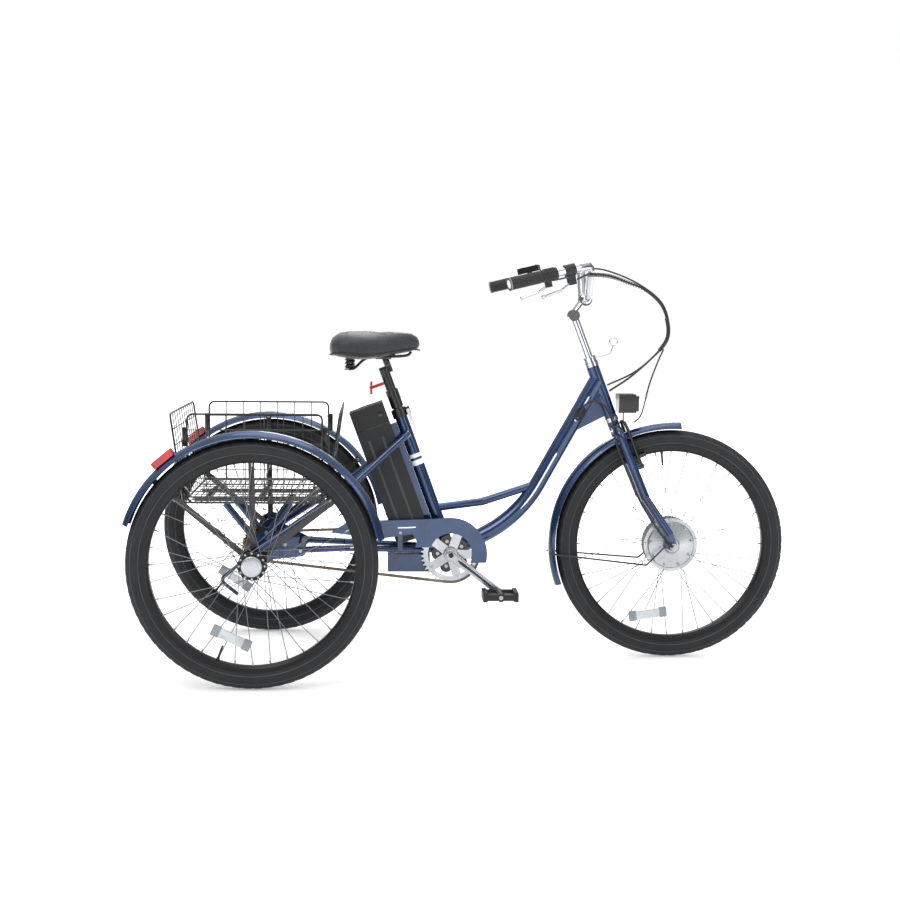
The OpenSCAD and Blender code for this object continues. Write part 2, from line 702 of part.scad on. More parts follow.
// Crank arm, from the spindle to the pedal axle; own X runs along the arm
module crank_arm(hand) {
    on_axle(bb + [0, hand > 0 ? crank_y + crank_t : -crank_y, 0])
        rotate([0, 0, crank_angle + (hand > 0 ? 180 : 0)]) {
            linear_extrude(crank_t) hull() {
                circle(r = 16, $fn = 40);
                translate([crank_len, 0]) circle(r = 11, $fn = 40);
            }
            translate([crank_len, 0, hand > 0 ? -pedal_w - 6 : crank_t])
                cylinder(h = pedal_w + 6, r = pedal_axle_r);
        }
}
module chainring_crank() {
    color(silver) {
        crank_arm(right);
        on_axle(bb + [0, -chain_y + 1.5, 0]) {
            ring(ring_r - chain_half - 0.6, ring_r - 18, 3);
            for (i = [0:4]) rotate([0, 0, crank_angle + 36 + 72 * i])
                translate([10, -8, 0]) cube([ring_r - 26, 16, 3]);
            cylinder(h = crank_y - chain_y + 2, r = 20);
        }
        on_axle(bb + [0, crank_y, 0]) cylinder(h = 2 * crank_y, r = spindle_r);
    }
}
module crank_left() {
    color(silver) difference() {
        union() {
            crank_arm(left);
            on_axle(bb + [0, crank_y + lap, 0]) cylinder(h = 16 + lap, r = 14);
        }
        on_axle(bb + [0, crank_y + 0.2, 0]) cylinder(h = 17, r = spindle_r + fit);
    }
}
function pedal_at(hand) = bb - hand * crank_len * [cos(crank_angle), 0, sin(crank_angle)];
// Platform pedal: two treads joined by end bars round the bearing tube
module pedal(hand) {
    inner_y = crank_y + crank_t + 4;
    p = pedal_at(hand);
    color(black) translate([p.x, hand > 0 ? inner_y : -inner_y - pedal_w, p.z]) difference() {
        union() {
            for (x = [-50, 34]) translate([x, 0, -13]) cube([16, pedal_w, 26]);
            for (y = [0, pedal_w - 12]) translate([-36, y, -9]) cube([72, 12, 18]);
            translate([0, pedal_w, 0]) rotate([90, 0, 0]) cylinder(h = pedal_w, r = 12);
        }
        translate([0, pedal_w + 1, 0]) rotate([90, 0, 0]) cylinder(h = pedal_w + 2, r = pedal_axle_r + fit);
    }
}
module pedal_right() pedal(right);
module pedal_left() pedal(left);

// Seven cogs on one body; the third smallest lies in the chain's plane
cog_list = [for (t = [-4, -2, 0, 2, 4, 6, 8]) cog_teeth + t];
cog_gap = 4.6;
module freewheel() {
    color("#9a7b45") difference() {
        union() {
            for (i = [0:6])
                on_axle([rear_x, -chain_y + (i - 2) * cog_gap + 1, axle_z])
                    cylinder(h = 2, r = pitch / 2 / sin(180 / cog_list[i]) - chain_half - 0.6);
            on_axle([rear_x, -chain_y + 5 * cog_gap, axle_z]) cylinder(h = 8 * cog_gap, r = 20);
        }
        on_axle([rear_x, 0, axle_z]) cylinder(h = 100, r = axle_r + fit);
    }
}

// The chain as a plain band round the ring and the cog
module chain() {
    d = [rear_x, axle_z] - [bb.x, bb.z];
    color("#77706a") on_axle(bb + [0, -chain_y + chain_w / 2, 0]) rotate([0, 0, atan2(d.y, d.x)])
        linear_extrude(chain_w) difference() {
            chain_loop(norm(d), chain_half);
            chain_loop(norm(d), -chain_half);
        }
}
// Outline round both wheels, grown by d from the pitch line
module chain_loop(len, d) {
    wrap = acos((ring_r - cog_r) / len);         // where the runs leave each wheel
    tip = [cos(wrap), sin(wrap)];
    big = (ring_r + d - 0.05) * tip;
    small = (cog_r + d - 0.05) * tip;
    circle(r = ring_r + d);
    translate([len, 0]) circle(r = cog_r + d);
    polygon([big, [len + small.x, small.y], [len + small.x, -small.y], [big.x, -big.y]]);
}

// Guard outside the chain, with a lip over its top
guard_r = 103;
guard_y = chain_y + 9;
guard_t = 2;
module chain_guard() {
    rear_low = [-340, 62];
    rear_high = [-292, 92];
    color(blue) on_axle(bb + [0, -guard_y, 0]) {
        linear_extrude(guard_t) difference() {
            union() {
                intersection() {
                    circle(r = guard_r, $fn = 120);
                    translate([-guard_r, -24]) square([2 * guard_r, 2 * guard_r]);
                }
                polygon([[0, guard_r], rear_high, rear_low, [-202, 44], [-108, 58], [-88, 20], [0, 0]]);
            }
            circle(r = 60, $fn = 96);
            translate([-110, -30]) square([80, 50]);
            translate([-90, -40]) square([120, 60]);
        }
        // lip, running over the top of the chain
        translate([0, 0, -12.4]) {
            rotate([0, 0, -11]) rotate_extrude(angle = 101, $fn = 120)
                translate([guard_r - guard_t - 0.3, 0]) square([guard_t, 13.4]);
            lip = [rear_high.x, rear_high.y - guard_r];
            translate([0, guard_r - 0.1, 0]) rotate([0, 0, atan2(lip.y, lip.x)])
                translate([-3, 0, 0]) cube([norm(lip) + 2, guard_t + 0.6, 13.4]);
        }
        // two arms down to the chain stay
        for (a = [[-150, 8], [-262, 26]])
            translate([a.x, a.y, -7]) cube([14, 66 - a.y, 7.5]);
    }
}

// --- seat ----------------------------------------------------------------
module seat_clamp() {
    color("dimgray") on_seat_tube() difference() {
        union() {
            translate([0, 0, seat_len - 26]) cylinder(h = 24, r = seat_r + 4.5);
            translate([seat_r, -9, seat_len - 24]) cube([14, 18, 20]);
        }
        translate([0, 0, seat_len - 30]) cylinder(h = 40, r = seat_r + fit);
        translate([0, -1, seat_len - 30]) cube([40, 2, 40]);
        translate([seat_r + 8, 12, seat_len - 14]) rotate([90, 0, 0]) cylinder(h = 24, r = 3 + fit);
    }
}
// Cam lever of the seat clamp, with its skewer through the clamp's lugs
module seat_lever() {
    color(silver) on_seat_tube() translate([seat_r + 8, 0, seat_len - 14]) {
        translate([0, 14, 0]) rotate([90, 0, 0]) cylinder(h = 28, r = 3);
        translate([0, 14.5, 0]) rotate([90, 0, 0]) cylinder(h = 5, r = 5.4);
        translate([0, -9.5, 0]) rotate([90, 0, 0]) cylinder(h = 10, r = 5.4);
        translate([-4.5, -19, -62]) cube([9, 5, 60]);
    }
}
post_top = 566;                                  // hinge height above the bottom bracket
hinge_at = [14, 0, post_top];                    // saddle hinge, in the seat tube's own frame
module seat_post() {
    color("dimgray") on_seat_tube() difference() {
        union() {
            translate([0, 0, seat_len - post_in])
                cylinder(h = post_top - 12 - seat_len + post_in, r = post_r);
            translate([0, 0, seat_len + 3]) cylinder(h = 52, r = post_r + 4);
            translate([-13, -7, post_top - 26]) cube([36, 14, 20]);
            translate([5, -7, post_top - 10]) cube([18, 14, 10]);
            translate(hinge_at + [0, 7, 0]) rotate([90, 0, 0]) cylinder(h = 14, r = 9);
            translate(hinge_at + [0, 13, 0]) rotate([90, 0, 0]) cylinder(h = 26, r = 3);
        }
        translate([0, 0, seat_len - post_in - 1]) cylinder(h = post_in + 60, r = post_r - 2.4);
    }
}
module post_reflector() {
    color("#a01018") on_seat_tube() {
        translate([-60, -22, seat_len + 65]) rotate([0, seat_tilt, 0]) cube([6, 44, 34]);
        translate([-56, -4, seat_len + 76]) cube([56 - post_r - 0.3, 8, 8]);
    }
}
module saddle_clamp() {
    color("dimgray") {
        translate(bb + [0, 0, 0]) aim([0, 0, 0], seat_dir, [1, 0, 0]) difference() {
            union() for (y = [-12.5, 7.5])
                translate([hinge_at.x - 9, y, post_top - 9]) cube([18, 5, 34]);
            translate(hinge_at + [0, 20, 0]) rotate([90, 0, 0]) cylinder(h = 40, r = 3 + fit);
        }
        translate(seat_ref + [-26, -13, 14]) cube([46, 26, 10]);
        for (hand = [right, left]) {
            rod(seat_ref + [-100, hand * 24, 18], seat_ref + [62, hand * 24, 18], 3.5);
            rod(seat_ref + [-104, hand * 48, -16], seat_ref + [-104, hand * 48, 21], 15);
            rod(seat_ref + [-94, hand * 24, 18], seat_ref + [-104, hand * 42, 18], 3.1);
        }
        rod(seat_ref + [-4, -26, 18.5], seat_ref + [-4, 26, 18.5], 3);
    }
}
seat_ref = bb + post_top * seat_dir + 14 * [cos(seat_tilt), 0, sin(seat_tilt)];   // hinge, in the main frame
module saddle() {
    back = seat_ref.x - 163;
    low = seat_ref.z + 22;
    color(black) hull() {
        for (hand = [right, left]) {
            translate([back + 40, hand * (saddle_w / 2 - 36), low + 32]) sphere(r = 32, $fn = 32);
            translate([back + 84, hand * (saddle_w / 2 - 22), low + 24]) sphere(r = 20, $fn = 32);
            translate([back + 40, hand * 30, low + 38]) sphere(r = 34, $fn = 32);
        }
        translate([back + saddle_len - 26, 0, low + 30]) sphere(r = 24, $fn = 32);
        translate([back + saddle_len - 70, 0, low + 36]) sphere(r = 30, $fn = 32);
    }
}

// --- battery and controller ----------------------------------------------
battery_low = 76;
battery_x = -seat_r - 18;                        // front face of the case
module battery() {
    color(black) on_seat_tube() difference() {
        translate([battery_x - battery_deep, -battery_w / 2, battery_low])
            cube([battery_deep, battery_w, battery_len]);
        for (hand = [-1, 1], x = [22, 62])
            translate([battery_x - battery_deep + x, hand * battery_w / 2 - 1.5, battery_low + 20])
                cube([8, 3, battery_len - 110]);
    }
}
module battery_rail() {
    color(blue) on_seat_tube() {
        translate([battery_x + gap, -15, 70]) cube([18 - 2 * gap + 0.3, 30, 330]);
        translate([battery_x - battery_deep, -17, 70]) cube([battery_deep + 6, 34, battery_low - 70 - gap]);
    }
}
module controller_box() {
    color(blue) {
        translate([bb.x - 178, -34, bb.z - 54]) cube([120, 68, 50]);
        // straps under the chain stays
        for (b = [[-172, 3.8], [-78, 0.6]])
            translate([bb.x + b.x, -46, bb.z - 5]) cube([14, 92, 5 + b.y]);
    }
}

// Reflector blocks that stand on the rear fenders
module rear_reflectors() {
    color("#b01018") for (hand = [right, left])
        translate([rear_x, hand * wheel_y, axle_z]) rotate([0, -129.5, 0])
            translate([fender_r + 0.3, -20, -31]) cube([18, 40, 62]);
}

// --- cables --------------------------------------------------------------
// Hand-placed points along each cable's real run
route_right = [
    [268, -262, 1080], [300, -236, 1092], [375, -120, 1092], [440, -50, 1076], [492, -14, 1058],
    [545, -4, 1012], [566, -4, 944], [548, -4, 894], [470, -3, 818], [400.6, -3, 770]
];
route_left = [
    [268, 262, 1086], [311, 230, 1097], [365, 110, 1118], [425, 50, 1102], [494, 14, 1066],
    [550, 4, 1016], [570, 5, 946], [552, 5, 894], [476, 5, 826], [395, 4, 786]
];
route_brake = [
    [552, -12, 890], [534, -16, 850], [512, -20, 790], [491, -24, 708], [470, -27, 682]
];
route_motor = [
    [313, -26.4, 708], [326, -36, 730], [350, -46, 744], [380, -56, 730], [400, -64, 690],
    [410, -66, 640], [426, -66, 590], [454, -66, 530], [486, -66, 458], [534, -68, 384],
    [566, -70, 344], [580, -72, 331]
];
module control_cables() {
    color(black) {
        cable(spline(route_right, 2), 6);
        cable(spline(route_left, 2), 5);
        cable(spline(route_brake, 2), 4.4);
    }
}
module motor_lead() {
    color(black) cable(spline(route_motor, 2), 6);
}

front_frame();
rear_frame();
basket_rack();
basket();
rear_fender_right();
rear_fender_left();
fender_stays();
axle_bearings();
headset_cups();
seat_clamp();
battery_rail();
controller_box();
chain_guard();
chain();
rear_reflectors();
post_reflector();
cable_guide();
fork();
stem();
handlebar();
grip_left();
grip_right();
brake_bracket_left();
brake_bracket_right();
display_unit();
headlight();
front_fender();
front_fender_stays();
motor_axle();
twist_throttle();
brake_lever_left();
brake_lever_right();
brake_arm_left();
brake_arm_right();
power_button();
front_tyre();
front_rim();
front_spokes();
motor_shell();
rear_tyre_right();
rear_tyre_left();
rear_rim_right();
rear_rim_left();
rear_spokes_right();
rear_spokes_left();
rear_hub_right();
rear_hub_left();
axle_shaft();
chainring_crank();
crank_left();
pedal_right();
pedal_left();
freewheel();
seat_post();
saddle_clamp();
saddle();
seat_lever();
battery();
control_cables();
motor_lead();
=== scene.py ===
import json
import math

import bmesh
import bpy
from mathutils import Matrix, Vector


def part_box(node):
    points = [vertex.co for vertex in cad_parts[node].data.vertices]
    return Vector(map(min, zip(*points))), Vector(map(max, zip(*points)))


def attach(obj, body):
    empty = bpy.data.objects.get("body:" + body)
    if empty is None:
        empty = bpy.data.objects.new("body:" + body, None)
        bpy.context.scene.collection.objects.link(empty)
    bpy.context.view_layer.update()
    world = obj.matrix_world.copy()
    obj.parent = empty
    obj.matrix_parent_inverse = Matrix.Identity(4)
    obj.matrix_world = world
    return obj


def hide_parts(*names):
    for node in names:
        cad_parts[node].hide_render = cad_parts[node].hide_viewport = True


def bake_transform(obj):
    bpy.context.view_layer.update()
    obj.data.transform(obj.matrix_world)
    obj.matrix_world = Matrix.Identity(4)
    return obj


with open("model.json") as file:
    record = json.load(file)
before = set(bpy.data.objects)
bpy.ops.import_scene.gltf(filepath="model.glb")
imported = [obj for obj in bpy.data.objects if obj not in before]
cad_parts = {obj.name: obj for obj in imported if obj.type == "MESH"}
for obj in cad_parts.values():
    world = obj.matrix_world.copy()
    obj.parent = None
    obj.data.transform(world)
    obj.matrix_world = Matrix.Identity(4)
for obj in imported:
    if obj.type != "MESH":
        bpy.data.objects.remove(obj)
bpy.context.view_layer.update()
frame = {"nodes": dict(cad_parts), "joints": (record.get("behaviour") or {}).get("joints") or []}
nodes = frame["nodes"]
mm = 0.001


# sRGB hex to the linear RGBA that shaders take
def linear(hexColor):
    parts = [int(hexColor[i:i + 2], 16) / 255 for i in (1, 3, 5)]
    return (*[c / 12.92 if c <= 0.04045 else ((c + 0.055) / 1.055) ** 2.4 for c in parts], 1)


# one shader node with its settings, values or links for its inputs, and stops for a colour ramp
def addNode(tree, kind, inputs=None, stops=None, **settings):
    node = tree.nodes.new(kind)
    for name, value in settings.items():
        setattr(node, name, value)
    for key, value in (inputs or {}).items():
        if isinstance(value, bpy.types.NodeSocket):
            tree.links.new(value, node.inputs[key])
        else:
            node.inputs[key].default_value = value
    if stops:
        elements = node.color_ramp.elements
        while len(elements) < len(stops):
            elements.new(0.5)
        for element, (place, color) in zip(elements, stops):
            element.position = place
            element.color = linear(color) if isinstance(color, str) else (color, color, color, 1)
    return node


# a material with slow mottling in colour, fine grain in gloss and bump. colors are dark and light,
# rough is low and high, and grainMm is the real size of its grain.
def surface(name, colors, rough, grainMm=6, bumpMm=0.02, metallic=0.0, coat=0.0, sheen=0.0,
            stretch=(1, 1, 1), mottleMm=60, ior=1.5, transmission=0.0, emission=None):
    mat = bpy.data.materials.new(name)
    mat.use_nodes = True
    tree = mat.node_tree
    tree.nodes.clear()
    place = addNode(tree, "ShaderNodeTexCoord").outputs["Object"]
    scaled = addNode(tree, "ShaderNodeMapping", {"Vector": place, "Scale": stretch}).outputs[0]
    mottle = addNode(tree, "ShaderNodeTexNoise",
                     {"Vector": place, "Scale": 1 / (mottleMm * mm), "Detail": 4.0}).outputs["Fac"]
    grain = addNode(tree, "ShaderNodeTexNoise",
                    {"Vector": scaled, "Scale": 1 / (grainMm * mm), "Detail": 3.0}).outputs["Fac"]
    color = addNode(tree, "ShaderNodeValToRGB", {"Fac": mottle},
                    stops=[(0.3, colors[0]), (0.7, colors[1])]).outputs["Color"]
    gloss = addNode(tree, "ShaderNodeMapRange",
                    {"Value": grain, "From Min": 0.25, "From Max": 0.75,
                     "To Min": rough[0], "To Max": rough[1]}).outputs[0]
    bump = addNode(tree, "ShaderNodeBump",
                   {"Height": grain, "Strength": 0.5, "Distance": bumpMm * mm}).outputs[0]
    shader = addNode(tree, "ShaderNodeBsdfPrincipled",
                     {"Base Color": color, "Roughness": gloss, "Normal": bump})
    shader.inputs["Metallic"].default_value = metallic
    shader.inputs["Coat Weight"].default_value = coat
    shader.inputs["Coat Roughness"].default_value = 0.04
    shader.inputs["Sheen Weight"].default_value = sheen
    shader.inputs["Transmission Weight"].default_value = transmission
    if metallic < 0.5:
        shader.inputs["IOR"].default_value = ior
    if emission:
        shader.inputs["Emission Color"].default_value = linear(emission[0])
        shader.inputs["Emission Strength"].default_value = emission[1]
    out = addNode(tree, "ShaderNodeOutputMaterial")
    tree.links.new(shader.outputs[0], out.inputs["Surface"])
    return mat


# metallic blue enamel under clear lacquer: deep blue with fine flake and sharp highlights
bluePaint = surface("metallicBlueEnamel", ("#0c2549", "#163a68"), (0.24, 0.34), 1.2, 0.01,
                    metallic=0.55, coat=0.9)
# gloss black stove enamel on steel wire and strip
blackEnamel = surface("blackStoveEnamel", ("#08090a", "#101113"), (0.25, 0.4), 2, 0.02, coat=0.3)
# anodised black rims, satin with faint lengthwise grain
blackAnodised = surface("blackAnodisedAluminium", ("#0a0a0c", "#121316"), (0.28, 0.42), 1.5, 0.01,
                        metallic=0.4)
# bright chrome plate: near mirror with a faint haze
chromePlate = surface("brightChromePlate", ("#a9acb0", "#cfd1d4"), (0.06, 0.16), 3, 0.01,
                      metallic=1.0)
# polished cast aluminium: bright, a little milky
castAlloy = surface("polishedCastAluminium", ("#9a9da1", "#bfc2c5"), (0.18, 0.34), 2.5, 0.02,
                    metallic=0.9)
# zinc-plated steel, duller and cooler than chrome
zincPlate = surface("zincPlatedSteel", ("#8d9093", "#b9bcc0"), (0.25, 0.42), 2, 0.02, metallic=0.9)
# stainless spoke wire
spokeWire = surface("stainlessSpokeWire", ("#5f6267", "#85888d"), (0.3, 0.45), 2, 0.01,
                    metallic=0.85)
# tyre rubber: matte charcoal with a bloom that lightens it
tyreRubber = surface("vulcanisedTyreRubber", ("#0f1012", "#191a1d"), (0.62, 0.85), 1.5, 0.12,
                     mottleMm=40)
# sidewall ridges: real moulded rings, coloured lighter grey than the tyre as a painted highlight
tyreRidgeHighlight = surface("sidewallRidgePaintedHighlight", ("#34363a", "#42454a"), (0.6, 0.8), 1.5, 0.05)
# soft moulded grip rubber
gripRubber = surface("mouldedGripRubber", ("#0c0c0e", "#151618"), (0.55, 0.75), 1.2, 0.08,
                     sheen=0.15)
greyRubber = surface("greyGripEndRubber", ("#6d7176", "#82868b"), (0.5, 0.7), 1.5, 0.05)
# cable housing: extruded PVC, slightly glossy
cableJacket = surface("extrudedPvcJacket", ("#101114", "#1c1d20"), (0.35, 0.5), 1.5, 0.02)
# moulded ABS with a fine spark-eroded texture
blackAbs = surface("texturedBlackAbs", ("#0b0c0d", "#141518"), (0.42, 0.6), 0.9, 0.06)
glossAbs = surface("glossBlackAbs", ("#0c0d0f", "#15171a"), (0.12, 0.24), 2, 0.01, coat=0.4)
greyAbs = surface("greyAbsTrim", ("#2e3134", "#404448"), (0.4, 0.55), 1.2, 0.04)
# saddle cover: grained vinyl, dark blue-grey with a soft sheen
saddleVinyl = surface("grainedSaddleVinyl", ("#131417", "#202227"), (0.45, 0.62), 1.6, 0.18,
                      sheen=0.2)
# red reflector moulded in prismatic acrylic
redAcrylic = surface("redPrismaticAcrylic", ("#8e0d14", "#c8202a"), (0.12, 0.25), 2.2, 0.25,
                     coat=0.6)
clearAcrylic = surface("clearPrismaticAcrylic", ("#a3a9ad", "#cfd4d7"), (0.08, 0.2), 2.2, 0.25,
                       coat=0.6)
# headlamp lens: polycarbonate, clear and smooth, over a bright reflector
lampLens = surface("polycarbonateLampLens", ("#dfe7ea", "#f7fafb"), (0.05, 0.12), 4, 0.03,
                   coat=0.8, ior=1.58)
# LCD screen glass
screenGlass = surface("liquidCrystalGlass", ("#39453f", "#4d5a52"), (0.08, 0.15), 4, 0.01,
                      coat=0.8)
reflectorGrey = surface("greyReflectorMoulding", ("#777b80", "#94989c"), (0.3, 0.45), 1.5, 0.03)
whiteDecal = surface("whiteVinylStripe", ("#dfe3e6", "#f4f6f7"), (0.3, 0.42), 2, 0.01, coat=0.5)
# chain and cogs: oiled steel, brown where oil has dried
oiledSteel = surface("oiledChainSteel", ("#4a443c", "#7b756b"), (0.3, 0.5), 2, 0.05,
                     metallic=0.85)
goldSteel = surface("phosphatedCogSteel", ("#5e4520", "#8d6b35"), (0.32, 0.5), 2, 0.05,
                    metallic=0.8)
shellEnamel = surface("silverHubEnamel", ("#9ea2a6", "#bec1c5"), (0.22, 0.36), 2, 0.02,
                      metallic=0.75, coat=0.3)

nodeFinish = {
    bluePaint: "front_frame rear_frame battery_rail controller_box fork rear_fender_right"
               " rear_fender_left front_fender chain_guard",
    blackEnamel: "basket_rack fender_stays front_fender_stays brake_arm_right brake_arm_left"
                 " seat_clamp seat_post saddle_clamp",
    blackAnodised: "front_rim rear_rim_right rear_rim_left rear_hub_right rear_hub_left",
    chromePlate: "headset_cups stem handlebar brake_lever_left brake_lever_right seat_lever"
                 " cable_guide axle_shaft",
    zincPlate: "axle_bearings motor_axle",
    castAlloy: "chainring_crank crank_left",
    shellEnamel: "motor_shell",
    spokeWire: "front_spokes rear_spokes_right rear_spokes_left",
    tyreRubber: "front_tyre rear_tyre_right rear_tyre_left",
    gripRubber: "grip_left grip_right twist_throttle",
    cableJacket: "control_cables motor_lead",
    blackAbs: "brake_bracket_left brake_bracket_right battery pedal_right pedal_left",
    glossAbs: "display_unit headlight power_button",
    redAcrylic: "rear_reflectors post_reflector",
    saddleVinyl: "saddle",
    goldSteel: "freewheel",
    oiledSteel: "chain",
}
for finish, names in nodeFinish.items():
    for name in names.split():
        slots = nodes[name].material_slots
        if slots:
            for s in slots:
                s.material = finish
        else:
            nodes[name].data.materials.append(finish)
print("finishes on the CAD nodes")


# quads over rows of equal rings, as index lists
def wrap(rows, closeRows, closeRing, start=0):
    count, ring = len(rows), len(rows[0])
    faces = []
    for i in range(count if closeRows else count - 1):
        for j in range(ring if closeRing else ring - 1):
            a, b = i * ring, (i + 1) % count * ring
            k = (j + 1) % ring
            faces.append((start + a + j, start + a + k, start + b + k, start + b + j))
    return faces


# a round tube along points; radius may be one value or one per point
def sweep(points, radius, sides=10, closed=False):
    points = [Vector(p) for p in points]
    count = len(points)
    radii = radius if isinstance(radius, (list, tuple)) else [radius] * count
    across, rows = None, []
    for i, p in enumerate(points):
        before = points[i - 1] if i or closed else p
        after = points[(i + 1) % count] if i < count - 1 or closed else p
        along = (after - before).normalized()
        if across is None:
            across = along.orthogonal().normalized()
        across = (across - along * across.dot(along)).normalized()
        beside = along.cross(across)
        rows.append([p + radii[i] * (math.cos(t) * across + math.sin(t) * beside)
                     for t in (math.tau * k / sides for k in range(sides))])
    verts = [v for row in rows for v in row]
    faces = wrap(rows, closed, True)
    if not closed:
        faces += [tuple(range(sides))[::-1], tuple(range(len(verts) - sides, len(verts)))]
    return verts, faces


# own Z along direction and own X as near to up as it can be
def axes(direction, up=(0, 0, 1)):
    z = Vector(direction).normalized()
    x = Vector(up) - z * Vector(up).dot(z)
    x = x.normalized() if x.length > 1e-6 else z.orthogonal().normalized()
    return Matrix((x, z.cross(x), z)).transposed()


# turns a closed outline of (radius, along) points round an axis; wave(angle, row) adds to a radius
def lathe(profile, place, direction, segments=64, up=(0, 0, 1), wave=None):
    basis, place = axes(direction, up), Vector(place)
    rows = []
    for s in range(segments):
        t = math.tau * s / segments
        rows.append([place + basis @ Vector((
            (r + (wave(t, i) if wave else 0)) * math.cos(t),
            (r + (wave(t, i) if wave else 0)) * math.sin(t), h))
            for i, (r, h) in enumerate(profile)])
    return [v for row in rows for v in row], wrap(rows, True, True)


# a box with rounded edges
def block(size, place, basis=None, bevel=0.001):
    bm = bmesh.new()
    bmesh.ops.create_cube(bm, size=1)
    for v in bm.verts:
        v.co = Vector([c * s for c, s in zip(v.co, size)])
    bmesh.ops.bevel(bm, geom=bm.edges[:], offset=min(bevel, min(size) * 0.4), segments=2,
                    affect="EDGES", profile=0.6)
    basis = basis or Matrix.Identity(3)
    verts = [Vector(place) + basis @ v.co for v in bm.verts]
    faces = [tuple(v.index for v in f.verts) for f in bm.faces]
    bm.free()
    return verts, faces


# a flat plate from an outline in the basis' X and Y, with an optional hole of equal count
def slab(outline, thick, basis, place, hole=None):
    low = [Vector(place) + basis @ Vector((x, y, -thick / 2)) for x, y in outline]
    high = [Vector(place) + basis @ Vector((x, y, thick / 2)) for x, y in outline]
    n = len(outline)
    if hole is None:
        verts = low + high
        faces = [tuple(range(n))[::-1], tuple(range(n, 2 * n))]
        faces += [(i, (i + 1) % n, n + (i + 1) % n, n + i) for i in range(n)]
        return verts, faces
    lowHole = [Vector(place) + basis @ Vector((x, y, -thick / 2)) for x, y in hole]
    highHole = [Vector(place) + basis @ Vector((x, y, thick / 2)) for x, y in hole]
    verts, faces = low + high + lowHole + highHole, []
    for i in range(n):
        k = (i + 1) % n
        faces += [(i, k, n + k, n + i), (n + i, n + k, 3 * n + k, 3 * n + i),
                  (3 * n + i, 3 * n + k, 2 * n + k, 2 * n + i), (2 * n + i, 2 * n + k, k, i)]
    return verts, faces


# one object from several (verts, faces) parts. It moves with body.
def piece(name, parts, finish, body, smoothDegrees=40, replaced=()):
    verts, faces = [], []
    for partVerts, partFaces in parts:
        start = len(verts)
        verts += [tuple(v) for v in partVerts]
        faces += [tuple(start + i for i in f) for f in partFaces]
    mesh = bpy.data.meshes.new(name)
    mesh.from_pydata(verts, [], faces)
    bm = bmesh.new()
    bm.from_mesh(mesh)
    bmesh.ops.recalc_face_normals(bm, faces=bm.faces)
    bm.to_mesh(mesh)
    bm.free()
    mesh.shade_smooth()
    mesh.set_sharp_from_angle(angle=math.radians(smoothDegrees))
    mesh.materials.append(finish)
    obj = bpy.data.objects.new(name, mesh)
    bpy.context.collection.objects.link(obj)
    if replaced:
        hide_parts(*replaced)
    if body:
        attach(obj, body)
    return obj


# a smooth line through the points
def curve(points, steps=8):
    p = [Vector(q) for q in points]
    p = [2 * p[0] - p[1], *p, 2 * p[-1] - p[-2]]
    line = []
    for i in range(1, len(p) - 2):
        for k in range(steps):
            t = k / steps
            a, b, c, d = p[i - 1:i + 3]
            line.append(0.5 * (2 * b + (c - a) * t + (2 * a - 5 * b + 4 * c - d) * t * t
                               + (3 * b - a - 3 * c + d) * t ** 3))
    return line + [p[-2]]


# directions in a wheel's plane: outward at an angle, and along the rim there
def radial(t):
    return Vector((math.cos(t), 0, math.sin(t)))


def rimward(t):
    return Vector((-math.sin(t), 0, math.cos(t)))


def middle(node):
    low, high = (Vector(c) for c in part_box(node))
    return (low + high) / 2


frontHub = middle("front_tyre")
rearHubs = {"right": middle("rear_tyre_right"), "left": middle("rear_tyre_left")}
wheelBodies = {"right": "wheel_right", "left": "wheel_left"}
jointAt = {j["name"]: Vector(j["pos_m"]) for j in frame["joints"] if j.get("pos_m")}
crank = jointAt["crank_spin"]


# basket of welded wire
basketSpec = {"x": (-0.7735, -0.3935), "halfY": 0.259, "z": (0.481, 0.7165), "flare": 0.034,
              "rim": 0.0028, "mesh": 0.0014, "corner": 0.016, "side": 7, "ends": 11,
              "rows": (0.042, 0.085, 0.128, 0.17, 0.205), "floorLong": 9, "floorCross": 24}


# wires of one panel: corners are low a, low b, high b, high a
def panel(corners, spec, columns):
    lowA, lowB, _, highA = (Vector(c) for c in corners)
    along, rise = (lowB - lowA).normalized(), (highA - lowA).normalized()
    width, height, turn = (lowB - lowA).length, (highA - lowA).length, spec["corner"]
    rim = []
    for cx, cy, first in ((turn, turn, 180), (width - turn, turn, 270),
                          (width - turn, height - turn, 0), (turn, height - turn, 90)):
        for k in range(6):
            t = math.radians(first + 18 * k)
            rim.append(lowA + along * (cx + turn * math.cos(t)) + rise * (cy + turn * math.sin(t)))
    parts = [sweep(rim, spec["rim"], 8, closed=True)]
    for k in range(1, columns):
        foot = lowA + along * width * k / columns
        parts.append(sweep([foot, foot + rise * height], spec["mesh"], 6))
    for row in spec["rows"]:
        foot = lowA + rise * (height - row)
        parts.append(sweep([foot, foot + along * width], spec["mesh"], 6))
    return parts


